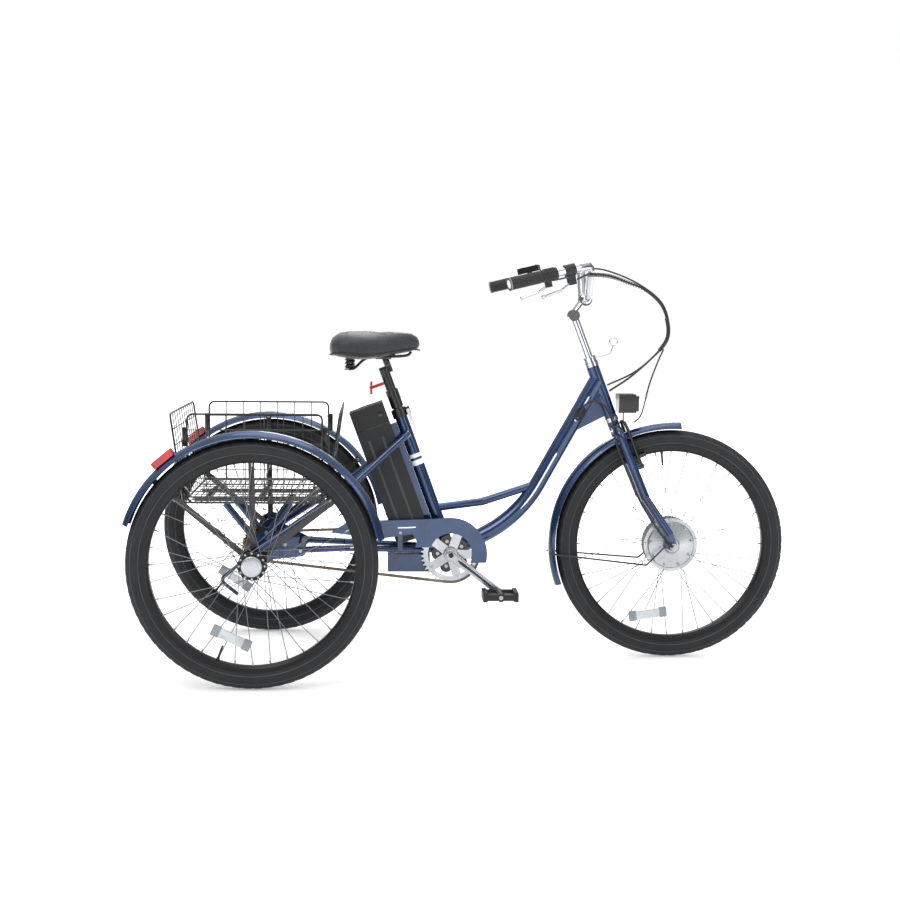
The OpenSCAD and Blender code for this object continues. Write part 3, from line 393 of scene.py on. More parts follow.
def makeBasket(spec):
    (x0, x1), y, (z0, z1), lean = spec["x"], spec["halfY"], spec["z"], spec["flare"]
    parts = []
    for hand in (-1, 1):
        parts += panel([(x0 + 0.012, hand * y, z0), (x1 - 0.012, hand * y, z0),
                        (x1 - 0.012, hand * y, z1), (x0 + 0.012, hand * y, z1)],
                       spec, spec["side"])
    for x, out in ((x0, -lean), (x1, lean)):
        parts += panel([(x, -y + 0.01, z0), (x, y - 0.01, z0), (x + out, y - 0.01, z1),
                        (x + out, -y + 0.01, z1)], spec, spec["ends"])
    # floor: a rim, two runners and close cross wires
    for k in range(spec["floorCross"] + 1):
        x = x0 + (x1 - x0) * k / spec["floorCross"]
        parts.append(sweep([(x, -y, z0), (x, y, z0)], spec["mesh"], 6))
    for k in range(spec["floorLong"] + 1):
        across = -y + 2 * y * k / spec["floorLong"]
        thick = spec["rim"] if k in (0, 2, 7, 9) else spec["mesh"]
        parts.append(sweep([(x0, across, z0), (x1, across, z0)], thick, 6))
    # folded hinge clips at the corners
    for x in (x0 + 0.006, x1 - 0.006):
        for hand in (-1, 1):
            parts.append(block((0.014, 0.006, 0.05), (x, hand * (y - 0.002), z1 - 0.06)))
            parts.append(block((0.014, 0.006, 0.04), (x, hand * (y - 0.002), z0 + 0.04)))
    return piece("wireBasket", parts, blackEnamel, "frame", replaced=("basket",))


makeBasket(basketSpec)
print("basket")


wheelSpec = {"tyreR": 0.329, "half": 0.0235, "bead": 0.281, "beadHalf": 0.0128, "knobs": 72,
             "knob": 0.0016, "lines": (0.2935, 0.3135), "rimIn": 0.268, "spokes": 36}


# round casing with flatter tread, two sidewall lines and beads, as (radius, across)
def tyreProfile(spec):
    centre, half, bead = spec["tyreR"] - spec["half"], spec["half"], spec["bead"]
    points = [(bead - 0.001, -0.0100), (bead + 0.002, -spec["beadHalf"])]
    for k in range(33):
        t = math.radians(-128 + 8 * k)
        r = centre + half * math.cos(t)
        line = 0.0006 if 8 < abs(k - 16) < 11 else 0.0
        points.append((r + line * math.cos(t), (half + line - 0.0004) * math.sin(t)))
    return points + [(bead + 0.002, spec["beadHalf"]), (bead - 0.001, 0.0100)]


def makeTyre(name, hub, body, node, spec):
    profile = tyreProfile(spec)

    def tread(angle, row):
        place = abs(row - 18)
        if place > 6:
            return 0.0
        groove = (angle * spec["knobs"] / math.tau + 0.25 * (row % 3)) % 1
        cut = spec["knob"] if groove < 0.32 and place in (2, 3, 5, 6) else 0.0
        return -cut - (spec["knob"] if place in (1, 4) else 0.0)

    segments = 432
    parts = [lathe(profile, hub, (0, 1, 0), segments, wave=tread)]
    piece(name, parts, tyreRubber, body, replaced=(node,), smoothDegrees=30)
    lines, centre = [], spec["tyreR"] - spec["half"]
    for hand in (-1, 1):
        for r in spec["lines"]:
            reach = spec["half"] * math.sqrt(max(0, 1 - ((r - centre) / spec["half"]) ** 2))
            lines.append(lathe([(q, hand * (reach + h)) for q, h in
                                ((r - 0.0014, -0.0005), (r, 0.0004), (r + 0.0014, -0.0005))],
                               hub, (0, 1, 0), 144))
    # the ridge rings take the lighter grey of the painted highlight
    piece(name + "RidgeHighlights", lines, tyreRidgeHighlight, body)


# spoke nipples and a valve
def makeWheelTrim(name, hub, body, valveDegrees, spec):
    nipples = []
    for k in range(spec["spokes"]):
        t = math.radians(360 / spec["spokes"] * k)
        out = radial(t)
        foot = hub + out * (spec["rimIn"] + 0.001)
        nipples.append(sweep([foot, foot - out * 0.004, foot - out * 0.011],
                             [0.0026, 0.0022, 0.0017], 8))
    piece(name + "Nipples", nipples, zincPlate, body)
    t = math.radians(valveDegrees)
    valveOut = radial(t)
    foot = hub + valveOut * spec["rimIn"]
    piece(name + "Valve", [
        sweep([foot, foot - valveOut * 0.006], 0.0045, 10),
        sweep([foot - valveOut * 0.005, foot - valveOut * 0.032], 0.0032, 10),
        sweep([foot - valveOut * 0.031, foot - valveOut * 0.04], 0.0026, 10)],
        cableJacket, body)


for name, hub, body, node, valveDegrees in (
        ("frontTyre", frontHub, "front_wheel", "front_tyre", 96),
        ("rearTyreRight", rearHubs["right"], "wheel_right", "rear_tyre_right", 250),
        ("rearTyreLeft", rearHubs["left"], "wheel_left", "rear_tyre_left", 230)):
    makeTyre(name, hub, body, node, wheelSpec)
    makeWheelTrim(name, hub, body, valveDegrees, wheelSpec)
print("tyres")

# spoke reflectors: a long lens clipped between spokes, clear with grey ends. Each is placed by
# its angle and tilt in degrees and its distance from the hub.
reflectorSpec = {"lens": (0.08, 0.007, 0.026), "end": (0.022, 0.009, 0.03), "endAt": 0.044,
                 "rounding": 0.003, "outward": 0.006, "right": (254, -10, 0.2),
                 "left": (236, 0, 0.2), "front": (254, 24, 0.213)}
for key, hub, body in (("right", rearHubs["right"], "wheel_right"),
                       ("left", rearHubs["left"], "wheel_left"),
                       ("front", frontHub, "front_wheel")):
    angle, tilt, reach = reflectorSpec[key]
    t, turned = math.radians(angle), math.radians(angle + tilt)
    along = rimward(turned)
    basis = Matrix((along, (0, 1, 0), radial(turned))).transposed()
    place = hub + Vector((reach * math.cos(t), -reflectorSpec["outward"], reach * math.sin(t)))
    piece(key + "SpokeReflector", [block(reflectorSpec["lens"], place, basis,
                                         reflectorSpec["rounding"])],
          clearAcrylic, body)
    piece(key + "SpokeReflectorEnds", [
        block(reflectorSpec["end"], place + along * s * reflectorSpec["endAt"], basis,
              reflectorSpec["rounding"]) for s in (-1, 1)],
        reflectorGrey, body)

# rear hubs: black shells with scalloped flanges, and domed silver caps over their ends
for key, hand in (("right", -1), ("left", 1)):
    hub, body = rearHubs[key], wheelBodies[key]
    shell = [(0.0084, -0.027), (0.015, -0.027), (0.016, -0.026), (0.016, -0.0222),
             (0.0385, -0.022), (0.0388, -0.0185), (0.03, -0.018), (0.0205, -0.0145),
             (0.0195, 0.0), (0.0205, 0.0145), (0.03, 0.018), (0.0388, 0.0185), (0.0385, 0.022),
             (0.0275, 0.0225), (0.0272, 0.028), (0.0084, 0.028)]

    def scallop(angle, row):
        return -0.0016 * (1 - math.cos(18 * angle)) / 2 if row in (4, 5, 11, 12) else 0.0

    piece(key + "HubShell", [lathe(shell, hub, (0, hand, 0), 216, wave=scallop)], blackAnodised,
          body, replaced=("rear_hub_" + key,))
    dome = [(0.0268 * math.cos(math.radians(a)), 0.0322 + 0.0026 * math.sin(math.radians(a)))
            for a in range(0, 90, 10)] + [(0.0002, 0.0348)]
    piece(key + "HubCap", [lathe([(0.0002, 0.0284), (0.0268, 0.0284), *dome], hub,
                                 (0, hand, 0), 64)], shellEnamel, body)
    piece(key + "FlangeBolts", [
        lathe([(0.0001, 0.0226), (0.0028, 0.0224), (0.0032, 0.0205)],
              hub + Vector((0.0335 * math.cos(a), 0, 0.0335 * math.sin(a))), (0, hand, 0), 12)
        for a in (math.tau * k / 12 for k in range(12))], zincPlate, body)
print("hubs")


fenderSpec = {"top": 0.3515, "deep": 0.0165, "thick": 0.0014, "wire": 0.0015, "steps": 96,
              "rearWidth": 0.062, "frontWidth": 0.058}


# rolled sheet fender: crowned across, with deep sides and wired edges
def makeFender(name, hub, width, fromDegrees, toDegrees, body, node):
    half, top, deep = width / 2, fenderSpec["top"], fenderSpec["deep"]
    thick, wire, steps = fenderSpec["thick"], fenderSpec["wire"], fenderSpec["steps"]
    outline = []
    for side in (1, -1):
        for k in range(-8, 9):
            u = side * k / 8
            inset = 0.0 if side > 0 else thick
            outline.append((top - deep * abs(u) ** 2.8 - inset, u * (half - wire - inset * 0.6)))
    rows = []
    for k in range(steps + 1):
        t = math.radians(fromDegrees + (toDegrees - fromDegrees) * k / steps)
        out = radial(t)
        rows.append([hub + out * r + Vector((0, y, 0)) for r, y in outline])
    verts = [v for row in rows for v in row]
    size = len(outline)
    faces = wrap(rows, False, True)
    for start in (0, len(verts) - size):
        faces += [(start + k, start + k + 1, start + size - 2 - k, start + size - 1 - k)
                  for k in range(size // 2 - 1)]
    edges = [sweep([row[i] for row in rows], wire, 8) for i in (0, 16)]
    return piece(name, [(verts, faces), *edges], bluePaint, body, replaced=(node,))


for side in ("right", "left"):
    makeFender("rearFender" + side.title(), rearHubs[side], fenderSpec["rearWidth"], 11.5, 162,
               "frame", "rear_fender_" + side)
makeFender("frontFender", frontHub, fenderSpec["frontWidth"], 86, 200, "steering", "front_fender")
print("fenders")


# chain drive: radii and lengths in metres, crank turn in degrees
driveSpec = {"pitch": 0.0127, "ringTeeth": 40, "cogTeeth": 20, "chainY": -0.05, "tooth": 0.0045,
             "arms": 5, "ringInR": 0.064, "boltR": 0.0655, "spiderR": 0.037, "crankTurn": -37.5,
             "armY": 0.073, "armLength": 0.17, "cogInR": 0.0195, "cogGap": 0.0046}


# outline of a sprocket: rounded teeth between roller seats
def toothed(teeth, pitch, tooth, clear):
    pitchR = pitch / 2 / math.sin(math.pi / teeth)
    points = []
    for k in range(teeth):
        for part, lift in ((0.0, -clear), (0.18, -clear), (0.38, tooth * 0.75), (0.5, tooth),
                           (0.62, tooth * 0.75), (0.82, -clear)):
            t = math.tau * (k + part) / teeth
            points.append(((pitchR + lift) * math.cos(t), (pitchR + lift) * math.sin(t)))
    return points


# points on a circle, one level with each point of an outline
def circleInside(outline, radius):
    return [(radius * math.cos(math.atan2(y, x)), radius * math.sin(math.atan2(y, x)))
            for x, y in outline]


# roller chain: outer and inner plates in turn, with pins, round the ring and one cog
def makeChain(spec):
    cog = rearHubs["right"].copy()
    cog.y = 0
    reach = Vector((cog.x - crank.x, 0, cog.z - crank.z))
    ringR, cogR = (spec["pitch"] / 2 / math.sin(math.pi / n)
                   for n in (spec["ringTeeth"], spec["cogTeeth"]))
    lean = math.atan2(reach.z, reach.x)
    turn = math.acos((ringR - cogR) / reach.length)
    line = []
    for centre, r, a, b in ((crank, ringR, lean + turn, lean + math.tau - turn),
                            (cog, cogR, lean - turn, lean + turn)):
        line += [Vector((centre.x + r * math.cos(a + (b - a) * k / 40), spec["chainY"],
                         centre.z + r * math.sin(a + (b - a) * k / 40))) for k in range(41)]
    lengths = [0.0]
    for a, b in zip(line, line[1:] + line[:1]):
        lengths.append(lengths[-1] + (b - a).length)
    count = round(lengths[-1] / spec["pitch"] / 2) * 2
    pins, step = [], 0
    for k in range(count):
        want = lengths[-1] * k / count
        while lengths[step + 1] < want:
            step += 1
        a, b = line[step], line[(step + 1) % len(line)]
        pins.append(a.lerp(b, (want - lengths[step]) / (lengths[step + 1] - lengths[step])))
    parts = []
    for k, a in enumerate(pins):
        b = pins[(k + 1) % count]
        along = (b - a).normalized()
        basis = Matrix((along, Vector((0, 1, 0)).cross(along) * -1, (0, 1, 0))).transposed()
        length, offset = (b - a).length, 0.0024 if k % 2 else 0.0014
        outline = []
        for centreX, first in ((length / 2, -90), (-length / 2, 90)):
            outline += [(centreX + 0.0036 * math.cos(math.radians(first + 30 * i)),
                         0.0036 * math.sin(math.radians(first + 30 * i))) for i in range(7)]
        for hand in (-1, 1):
            parts.append(slab(outline, 0.0009, basis,
                              (a + b) / 2 + Vector((0, hand * (offset + 0.0004), 0))))
        parts.append(sweep([a - Vector((0, 0.0032, 0)), a + Vector((0, 0.0032, 0))], 0.0018, 8))
    return piece("rollerChain", parts, oiledSteel, "frame", replaced=("chain",))


makeChain(driveSpec)


# toothed ring, five arms, the bolts that hold them and the boss
def makeChainring(spec):
    flat = Matrix(((1, 0, 0), (0, 0, 1), (0, 1, 0)))
    outer = toothed(spec["ringTeeth"], spec["pitch"], spec["tooth"] * 0.75, 0.0038)
    place = crank + Vector((0, spec["chainY"], 0))
    parts = [slab(outer, 0.0022, flat, place, circleInside(outer, spec["ringInR"]))]
    bolts = []
    for k in range(spec["arms"]):
        t = math.radians(spec["crankTurn"] + 36) + math.tau * k / spec["arms"]
        out, beside = radial(t), rimward(t)
        arm = [crank + Vector((0, spec["chainY"] - 0.002, 0)) + out * r + beside * w
               for r, w in ((0.015, -0.013), (spec["boltR"], -0.0125), (spec["boltR"], 0.0125),
                            (0.015, 0.013))]
        low = [p + Vector((0, 0.0015, 0)) for p in arm]
        high = [p - Vector((0, 0.0015, 0)) for p in arm]
        parts.append((low + high, [(0, 1, 2, 3), (7, 6, 5, 4), (0, 4, 5, 1), (1, 5, 6, 2),
                                   (2, 6, 7, 3), (3, 7, 4, 0)]))
        bolts.append(lathe([(0.0001, 0.003), (0.0042, 0.0028), (0.0046, 0.0)],
                           place + out * spec["boltR"] - Vector((0, 0.002, 0)), (0, -1, 0), 16))
    parts.append(lathe([(0.006, 0.0), (0.0185, 0.0), (0.02, -0.002), (0.02, -0.016),
                        (0.006, -0.016)],
                       crank - Vector((0, 0.0675, 0)), (0, -1, 0), 48))
    return parts, bolts


# forged arm, thick at the boss and slim at the pedal
def crankArm(hand, spec):
    t = math.radians(spec["crankTurn"] + (180 if hand > 0 else 0))
    out, beside = radial(t), rimward(t)
    y = hand * spec["armY"]
    rings = []
    for along, half, thick in ((-0.0158, 0.004, 0.004), (-0.011, 0.012, 0.0052),
                               (0.0, 0.0158, 0.0058), (0.02, 0.0135, 0.0056),
                               (0.06, 0.0115, 0.005), (0.12, 0.0102, 0.0046),
                               (0.158, 0.0105, 0.0048), (0.17, 0.0108, 0.005),
                               (0.177, 0.0085, 0.0048), (0.1808, 0.003, 0.004)):
        centre, squareness, ring = crank + Vector((0, y, 0)) + out * along, 0.45, []
        for a in range(0, 360, 20):
            c, s = math.cos(math.radians(a)), math.sin(math.radians(a))
            ring.append(centre + beside * half * math.copysign(abs(c) ** squareness, c)
                        + Vector((0, thick * math.copysign(abs(s) ** squareness, s), 0)))
        rings.append(ring)
    verts = [v for ring in rings for v in ring]
    faces = wrap(rings, False, True)
    size = len(rings[0])
    faces += [tuple(range(size))[::-1], tuple(range(len(verts) - size, len(verts)))]
    arm = (verts, faces)
    face = crank + Vector((0, y + hand * 0.0052, 0))
    groove = [face + out * 0.024, face + out * 0.15]
    return arm, groove, out, face


ringParts, ringBolts = makeChainring(driveSpec)
rightArm, rightGroove, rightOut, rightFace = crankArm(-1, driveSpec)
leftArm, leftGroove, leftOut, leftFace = crankArm(1, driveSpec)
spindle = sweep([crank - Vector((0, 0.0672, 0)), crank + Vector((0, 0.0672, 0))], 0.0078, 24)
axleRight, axleLeft = (
    sweep([face + out * driveSpec["armLength"] - Vector((0, hand * 0.008, 0)),
           face + out * driveSpec["armLength"] + Vector((0, hand * 0.0905, 0))], 0.0058, 20)
    for face, out, hand in ((rightFace, rightOut, -1), (leftFace, leftOut, 1)))
piece("chainringAndCrank", [*ringParts, rightArm, spindle, axleRight], castAlloy, "crankset",
      replaced=("chainring_crank",))
leftBoss = lathe([(0.0085, 0.051), (0.0138, 0.051), (0.0138, 0.069), (0.0085, 0.069)], crank,
                 (0, 1, 0), 40)
piece("leftCrankArm", [leftArm, axleLeft, leftBoss], castAlloy, "crankset",
      replaced=("crank_left",))
piece("chainringBolts", ringBolts, zincPlate, "crankset")
# black scalloped spider seen between the silver arms
scallops, scallopBolts = [], []
for k in range(driveSpec["arms"]):
    t = math.radians(driveSpec["crankTurn"] + 72) + math.tau * k / driveSpec["arms"]
    place = crank + Vector((driveSpec["spiderR"] * math.cos(t), driveSpec["chainY"],
                            driveSpec["spiderR"] * math.sin(t)))
    scallops.append(lathe([(0.006, -0.001), (0.0175, -0.001), (0.0175, 0.0008), (0.006, 0.0008)],
                          place, (0, -1, 0), 40))
    scallopBolts.append(lathe([(0.0001, 0.0012), (0.005, 0.0012), (0.0062, -0.0008)],
                              place, (0, -1, 0), 20))
piece("crankSpider", scallops, blackEnamel, "crankset")
piece("crankSpiderBolts", scallopBolts, zincPlate, "crankset")
piece("crankGrooves", [
    sweep([a, a.lerp(b, 0.1), a.lerp(b, 0.9), b], [0.0014, 0.0044, 0.0028, 0.001], 10)
    for a, b in (rightGroove, leftGroove)], blackEnamel, "crankset")
piece("crankBolts", [
    lathe([(0.0001, 0.0035), (0.0065, 0.003), (0.0075, 0.0)], face, (0, hand, 0), 24)
    for face, hand in ((rightFace, -1), (leftFace, 1))],
      blackAbs, "crankset")


# platform pedal: a moulded cage with ribbed treads along both edges
def makePedal(key, hand):
    low, high = (Vector(c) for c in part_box("pedal_" + key))
    mid = (low + high) / 2
    width = high.y - low.y
    cage = []
    for x in (-0.0435, 0.0435):
        cage.append(block((0.011, width - 0.001, 0.023), mid + Vector((x, 0, 0)), bevel=0.003))
        for k in range(9):
            y = (k - 4) * 0.0092
            for z in (-1, 1):
                cage.append(block((0.0125, 0.0045, 0.0035),
                                  mid + Vector((x * 0.985, y, z * 0.0112)), bevel=0.001))
    for y in (-1, 1):
        cage.append(block((0.09, 0.008, 0.018), mid + Vector((0, y * (width / 2 - 0.0045), 0)),
                          bevel=0.003))
    cage.append(lathe([(0.0064, -width / 2 + 0.001), (0.0115, -width / 2 + 0.001),
                       (0.0118, -0.02), (0.0098, 0.0), (0.0118, 0.02), (0.0115, width / 2 - 0.001),
                       (0.0064, width / 2 - 0.001)], mid, (0, hand, 0), 32))
    for x in (-0.022, 0.022):
        cage.append(block((0.026, 0.008, 0.008), mid + Vector((x, 0, 0)), bevel=0.002))
    piece("platformPedal" + key.title(), cage, blackAbs, "pedal_" + key,
          replaced=("pedal_" + key,))


makePedal("right", -1)
makePedal("left", 1)

# seven cogs on the freewheel
cogParts = []
for k in range(7):
    teeth = 16 + 2 * k
    place = Vector((rearHubs["right"].x, driveSpec["chainY"] + (k - 2) * driveSpec["cogGap"],
                    rearHubs["right"].z))
    outline = toothed(teeth, driveSpec["pitch"], -0.0012 if k == 2 else -0.001, 0.0048)
    flat = Matrix(((1, 0, 0), (0, 0, 1), (0, 1, 0)))
    cogParts.append(slab(outline, 0.0018, flat, place,
                         circleInside(outline, driveSpec["cogInR"])))
piece("cogTeeth", cogParts, goldSteel, "freewheel")
print("drive")


saddleSpec = {"sections": 40, "voxel": 0.005, "pressure": 3.0, "stretch": 25, "shear": 15,
              "bending": 3, "frames": 20, "piping": 0.0018, "springTurns": 3.5}
# stations from back to front: x, half width, top, bottom
saddleStations = ((-0.392, 0.050, 0.899, 0.874), (-0.386, 0.082, 0.917, 0.867),
                  (-0.367, 0.102, 0.929, 0.862), (-0.340, 0.110, 0.932, 0.858),
                  (-0.310, 0.106, 0.930, 0.855), (-0.280, 0.090, 0.927, 0.856),
                  (-0.250, 0.066, 0.926, 0.861), (-0.220, 0.047, 0.928, 0.867),
                  (-0.190, 0.036, 0.931, 0.873), (-0.165, 0.029, 0.930, 0.878),
                  (-0.149, 0.021, 0.921, 0.884), (-0.141, 0.010, 0.906, 0.892))


# one cross-section: crowned top with a shallow centre channel, full sides, tucked edge
def saddleRing(station, count):
    x, half, top, low = station
    tall = top - low
    ring = []
    for k in range(count):
        t = math.tau * k / count
        c, s = math.cos(t), math.sin(t)
        y = half * math.copysign(abs(c) ** 0.72, c)
        z = low + tall * (0.42 + (0.58 * abs(s) ** 0.75 if s > 0 else -0.42 * abs(s) ** 0.5))
        if s > 0:
            z -= 0.004 * math.exp(-(y / 0.012) ** 2) * min(1, half / 0.06)
        ring.append(Vector((x, y, z)))
    return ring


def makeSaddle():
    count = saddleSpec["sections"]
    rings = []
    for a, b in zip(saddleStations, saddleStations[1:]):
        for k in range(3):
            f = k / 3
            rings.append(saddleRing([p + (q - p) * f for p, q in zip(a, b)], count))
    rings.append(saddleRing(saddleStations[-1], count))
    verts = [v for ring in rings for v in ring]
    faces = wrap(rings, False, True)
    faces += [tuple(range(count))[::-1], tuple(range(len(verts) - count, len(verts)))]
    cover = piece("saddleCover", [(verts, faces)], saddleVinyl, "saddle",
                  replaced=("saddle",), smoothDegrees=70)
    bpy.context.view_layer.objects.active = cover
    remesh = cover.modifiers.new("evenMesh", "REMESH")
    remesh.mode = "VOXEL"
    remesh.voxel_size = saddleSpec["voxel"]
    bakeModifiers(cover)
    base = cover.vertex_groups.new(name="base")
    base.add([v.index for v in cover.data.vertices if v.co.z < 0.874 + 0.02 * (v.co.x + 0.3)],
             1.0, "REPLACE")
    cloth = cover.modifiers.new("puff", "CLOTH")
    cloth.settings.vertex_group_mass = "base"
    cloth.settings.use_pressure = True
    cloth.settings.uniform_pressure_force = saddleSpec["pressure"]
    cloth.settings.effector_weights.gravity = 0
    cloth.settings.tension_stiffness = saddleSpec["stretch"]
    cloth.settings.compression_stiffness = saddleSpec["stretch"]
    cloth.settings.shear_stiffness = saddleSpec["shear"]
    cloth.settings.bending_stiffness = saddleSpec["bending"]
    cloth.point_cache.frame_start, cloth.point_cache.frame_end = 1, saddleSpec["frames"]
    for f in range(1, saddleSpec["frames"] + 1):
        bpy.context.scene.frame_set(f)
    bakeModifiers(cover)
    bpy.context.scene.frame_set(1)
    soften = cover.modifiers.new("soften", "SUBSURF")
    soften.levels = soften.render_levels = 1
    bakeModifiers(cover)
    cover.data.shade_smooth()


# puts the evaluated shape into the mesh, and keeps the material
def bakeModifiers(obj):
    graph = bpy.context.evaluated_depsgraph_get()
    mesh = bpy.data.meshes.new_from_object(obj.evaluated_get(graph))
    finish = obj.data.materials[0]
    obj.modifiers.clear()
    obj.data = mesh
    if not mesh.materials:
        mesh.materials.append(finish)


makeSaddle()

# piping round the lower edge, moulded base, coil springs, rails and clamp
edge = []
for hand in (1, -1):
    stations = saddleStations[::-1] if hand > 0 else saddleStations
    edge += [Vector((x, hand * half * 0.985, low + 0.42 * (top - low) - 0.016))
             for x, half, top, low in stations]
piece("saddlePiping", [sweep(curve(edge + edge[:1], 4)[:-1], saddleSpec["piping"], 8,
                              closed=True)], gripRubber, "saddle")
springs = []
for hand in (-1, 1):
    line = []
    turns, low, high = saddleSpec["springTurns"], 0.8305, 0.8645
    for k in range(int(turns * 20) + 1):
        t = math.tau * k / 20
        line.append(Vector((-0.3368 + 0.0115 * math.cos(t), hand * 0.048 + 0.0115 * math.sin(t),
                            low + (high - low) * k / (turns * 20))))
    springs.append(sweep(line, 0.0026, 8))
    springs.append(lathe([(0.004, -0.0025), (0.0145, -0.0025), (0.0145, 0.0), (0.004, 0.0)],
                         (-0.3368, hand * 0.048, 0.83), (0, 0, 1), 32))
    springs.append(sweep(curve([(-0.3368, hand * 0.048, 0.828), (-0.322, hand * 0.03, 0.832),
                                (-0.29, hand * 0.022, 0.858), (-0.24, hand * 0.022, 0.862),
                                (-0.18, hand * 0.02, 0.866), (-0.165, hand * 0.012, 0.876)], 6),
                         0.0034, 10))
springs.append(block((0.046, 0.05, 0.012), (-0.243, 0, 0.862), bevel=0.003))
springs.append(sweep([(-0.2368, -0.031, 0.8625), (-0.2368, 0.031, 0.8625)], 0.004, 12))
hinge = jointAt["saddle_flip"]
seatDir = Vector((-0.3453, 0, 0.93849))  # up the seat tube
seatAxes = Matrix((seatDir.cross(Vector((0, 1, 0))) * -1, (0, 1, 0), seatDir)).transposed()
for y in (-0.01, 0.01):
    springs.append(block((0.018, 0.005, 0.032), hinge + seatDir * 0.007 + Vector((0, y, 0)),
                         seatAxes, 0.002))
piece("saddleFittings", springs, blackEnamel, "saddle", replaced=("saddle_clamp",))
piece("saddleBase", [block((0.18, 0.07, 0.004), (-0.30, 0, 0.868), bevel=0.0015)], blackAbs,
      "saddle")
print("saddle")


# cables: points along each one, and its radius
routes = {
    "rightCable": ((0.268, -0.262, 1.08), (0.300, -0.236, 1.092), (0.375, -0.12, 1.092),
                   (0.440, -0.05, 1.076), (0.492, -0.014, 1.058), (0.545, -0.004, 1.012),
                   (0.566, -0.004, 0.944), (0.548, -0.004, 0.894), (0.470, -0.003, 0.818),
                   (0.4006, -0.003, 0.770)),
    "leftCable": ((0.268, 0.262, 1.086), (0.311, 0.230, 1.097), (0.365, 0.11, 1.118),
                  (0.425, 0.05, 1.102), (0.494, 0.014, 1.066), (0.550, 0.004, 1.016),
                  (0.570, 0.005, 0.946), (0.552, 0.005, 0.894), (0.476, 0.005, 0.826),
                  (0.395, 0.004, 0.786)),
    "frontBrakeCable": ((0.552, -0.012, 0.89), (0.534, -0.016, 0.85), (0.512, -0.02, 0.79),
                        (0.491, -0.024, 0.708), (0.470, -0.027, 0.682)),
    "motorCable": ((0.313, -0.0264, 0.708), (0.326, -0.036, 0.73), (0.350, -0.046, 0.744),
                   (0.380, -0.056, 0.73), (0.400, -0.064, 0.69), (0.410, -0.066, 0.64),
                   (0.426, -0.066, 0.59), (0.454, -0.066, 0.53), (0.486, -0.066, 0.458),
                   (0.534, -0.068, 0.384), (0.566, -0.07, 0.344), (0.580, -0.072, 0.331)),
}
radii = {"rightCable": 0.0029, "leftCable": 0.0025, "frontBrakeCable": 0.0022,
         "motorCable": 0.003}


# a spiral wrap wound along a line
def coilRound(line, radius, pitchM, sides=6):
    coil, run = [], 0.0
    for a, b in zip(line, line[1:]):
        along = (b - a).normalized()
        x = along.orthogonal().normalized()
        reference = Vector((0, 1, 0)) - along * along.y
        x = reference.normalized() if reference.length > 0.1 else x
        z = along.cross(x)
        length = (b - a).length
        steps = max(2, int(length / pitchM * 8))
        for k in range(steps):
            t = (run + length * k / steps) / pitchM * math.tau
            coil.append(a.lerp(b, k / steps) + radius * (math.cos(t) * x + math.sin(t) * z))
        run += length
    return sweep(coil, 0.0009, sides)


for name, route in routes.items():
    line = curve(route, 8)
    owner = "motor_lead" if name == "motorCable" else "control_cables"
    stands = (owner,) if name in ("motorCable", "rightCable") else ()
    parts = [sweep(line, radii[name], 12)]
    if name == "rightCable":
        parts.append(coilRound(line[8:34], 0.0052, 0.011))
        parts.append(sweep(line[44:58], 0.0056, 14))
    if name == "motorCable":
        parts.append(sweep(line[0:5], [0.0052, 0.005, 0.0047, 0.0044, 0.0036], 14))
        parts.append(sweep(line[-9:], 0.0045, 14))
    cable = piece(name, parts, cableJacket, None, replaced=stands, smoothDegrees=60)
    if name == "motorCable":
        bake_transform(cable)
    elif name == "frontBrakeCable":
        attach(cable, "steering")
    else:
        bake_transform(cable)
print("cables")


# a thin decal along points, with an even width unless it tapers at its start
def strip(points, width, normal=(0, -1, 0), thick=0.0005, taper=0.0):
    points, normal = [Vector(p) for p in points], Vector(normal)
    rows = []
    for i, p in enumerate(points):
        along = (points[min(i + 1, len(points) - 1)] - points[max(i - 1, 0)]).normalized()
        beside = along.cross(normal).normalized()
        half = width / 2 * min(1, taper + (1 - taper) * i / 3) if taper else width / 2
        rows.append([p + beside * s * half + normal * t * thick / 2
                     for s, t in ((-1, -1), (1, -1), (1, 1), (-1, 1))])
    verts = [v for row in rows for v in row]
    faces = wrap(rows, False, True)
    return verts, faces + [(3, 2, 1, 0), tuple(range(len(verts) - 4, len(verts)))]


# the down tube's side line: a bend of 360 mm, then straight up to the head tube
bendAt, bendR = Vector((-0.1147, 0, 0.6781)), 0.360
tubeDir = Vector((0.4872, 0, 0.8733))
sideY = Vector((0, -0.02262, 0))


def onBend(degrees):
    a = math.radians(degrees)
    return bendAt + bendR * radial(a)


bendEnd = onBend(-29.1)
stripes = [strip([onBend(-42.9 + 1.4 * k) + sideY for k in range(10)]
                 + [bendEnd + tubeDir * d + sideY for d in (0.01, 0.05, 0.103)], 0.0048,
                 taper=0.2),
           strip([bendEnd + tubeDir * d + sideY for d in (0.208, 0.215)], 0.006),
           strip([bendEnd + tubeDir * d + sideY for d in (0.253, 0.288)], 0.004)]
piece("downTubeStripes", stripes, whiteDecal, "frame")
bands = [lathe([(0.0174, a), (0.0177, a), (0.0177, b), (0.0174, b)], crank, seatDir, 64)
         for a, b in ((0.288, 0.299), (0.266, 0.281))]
piece("seatTubeBands", bands, whiteDecal, "frame")
piece("guardStripe", [strip([(-0.2, -0.0611, 0.384), (-0.17, -0.0611, 0.3845),
                             (-0.15, -0.0611, 0.386)], 0.0036)], whiteDecal, "frame")

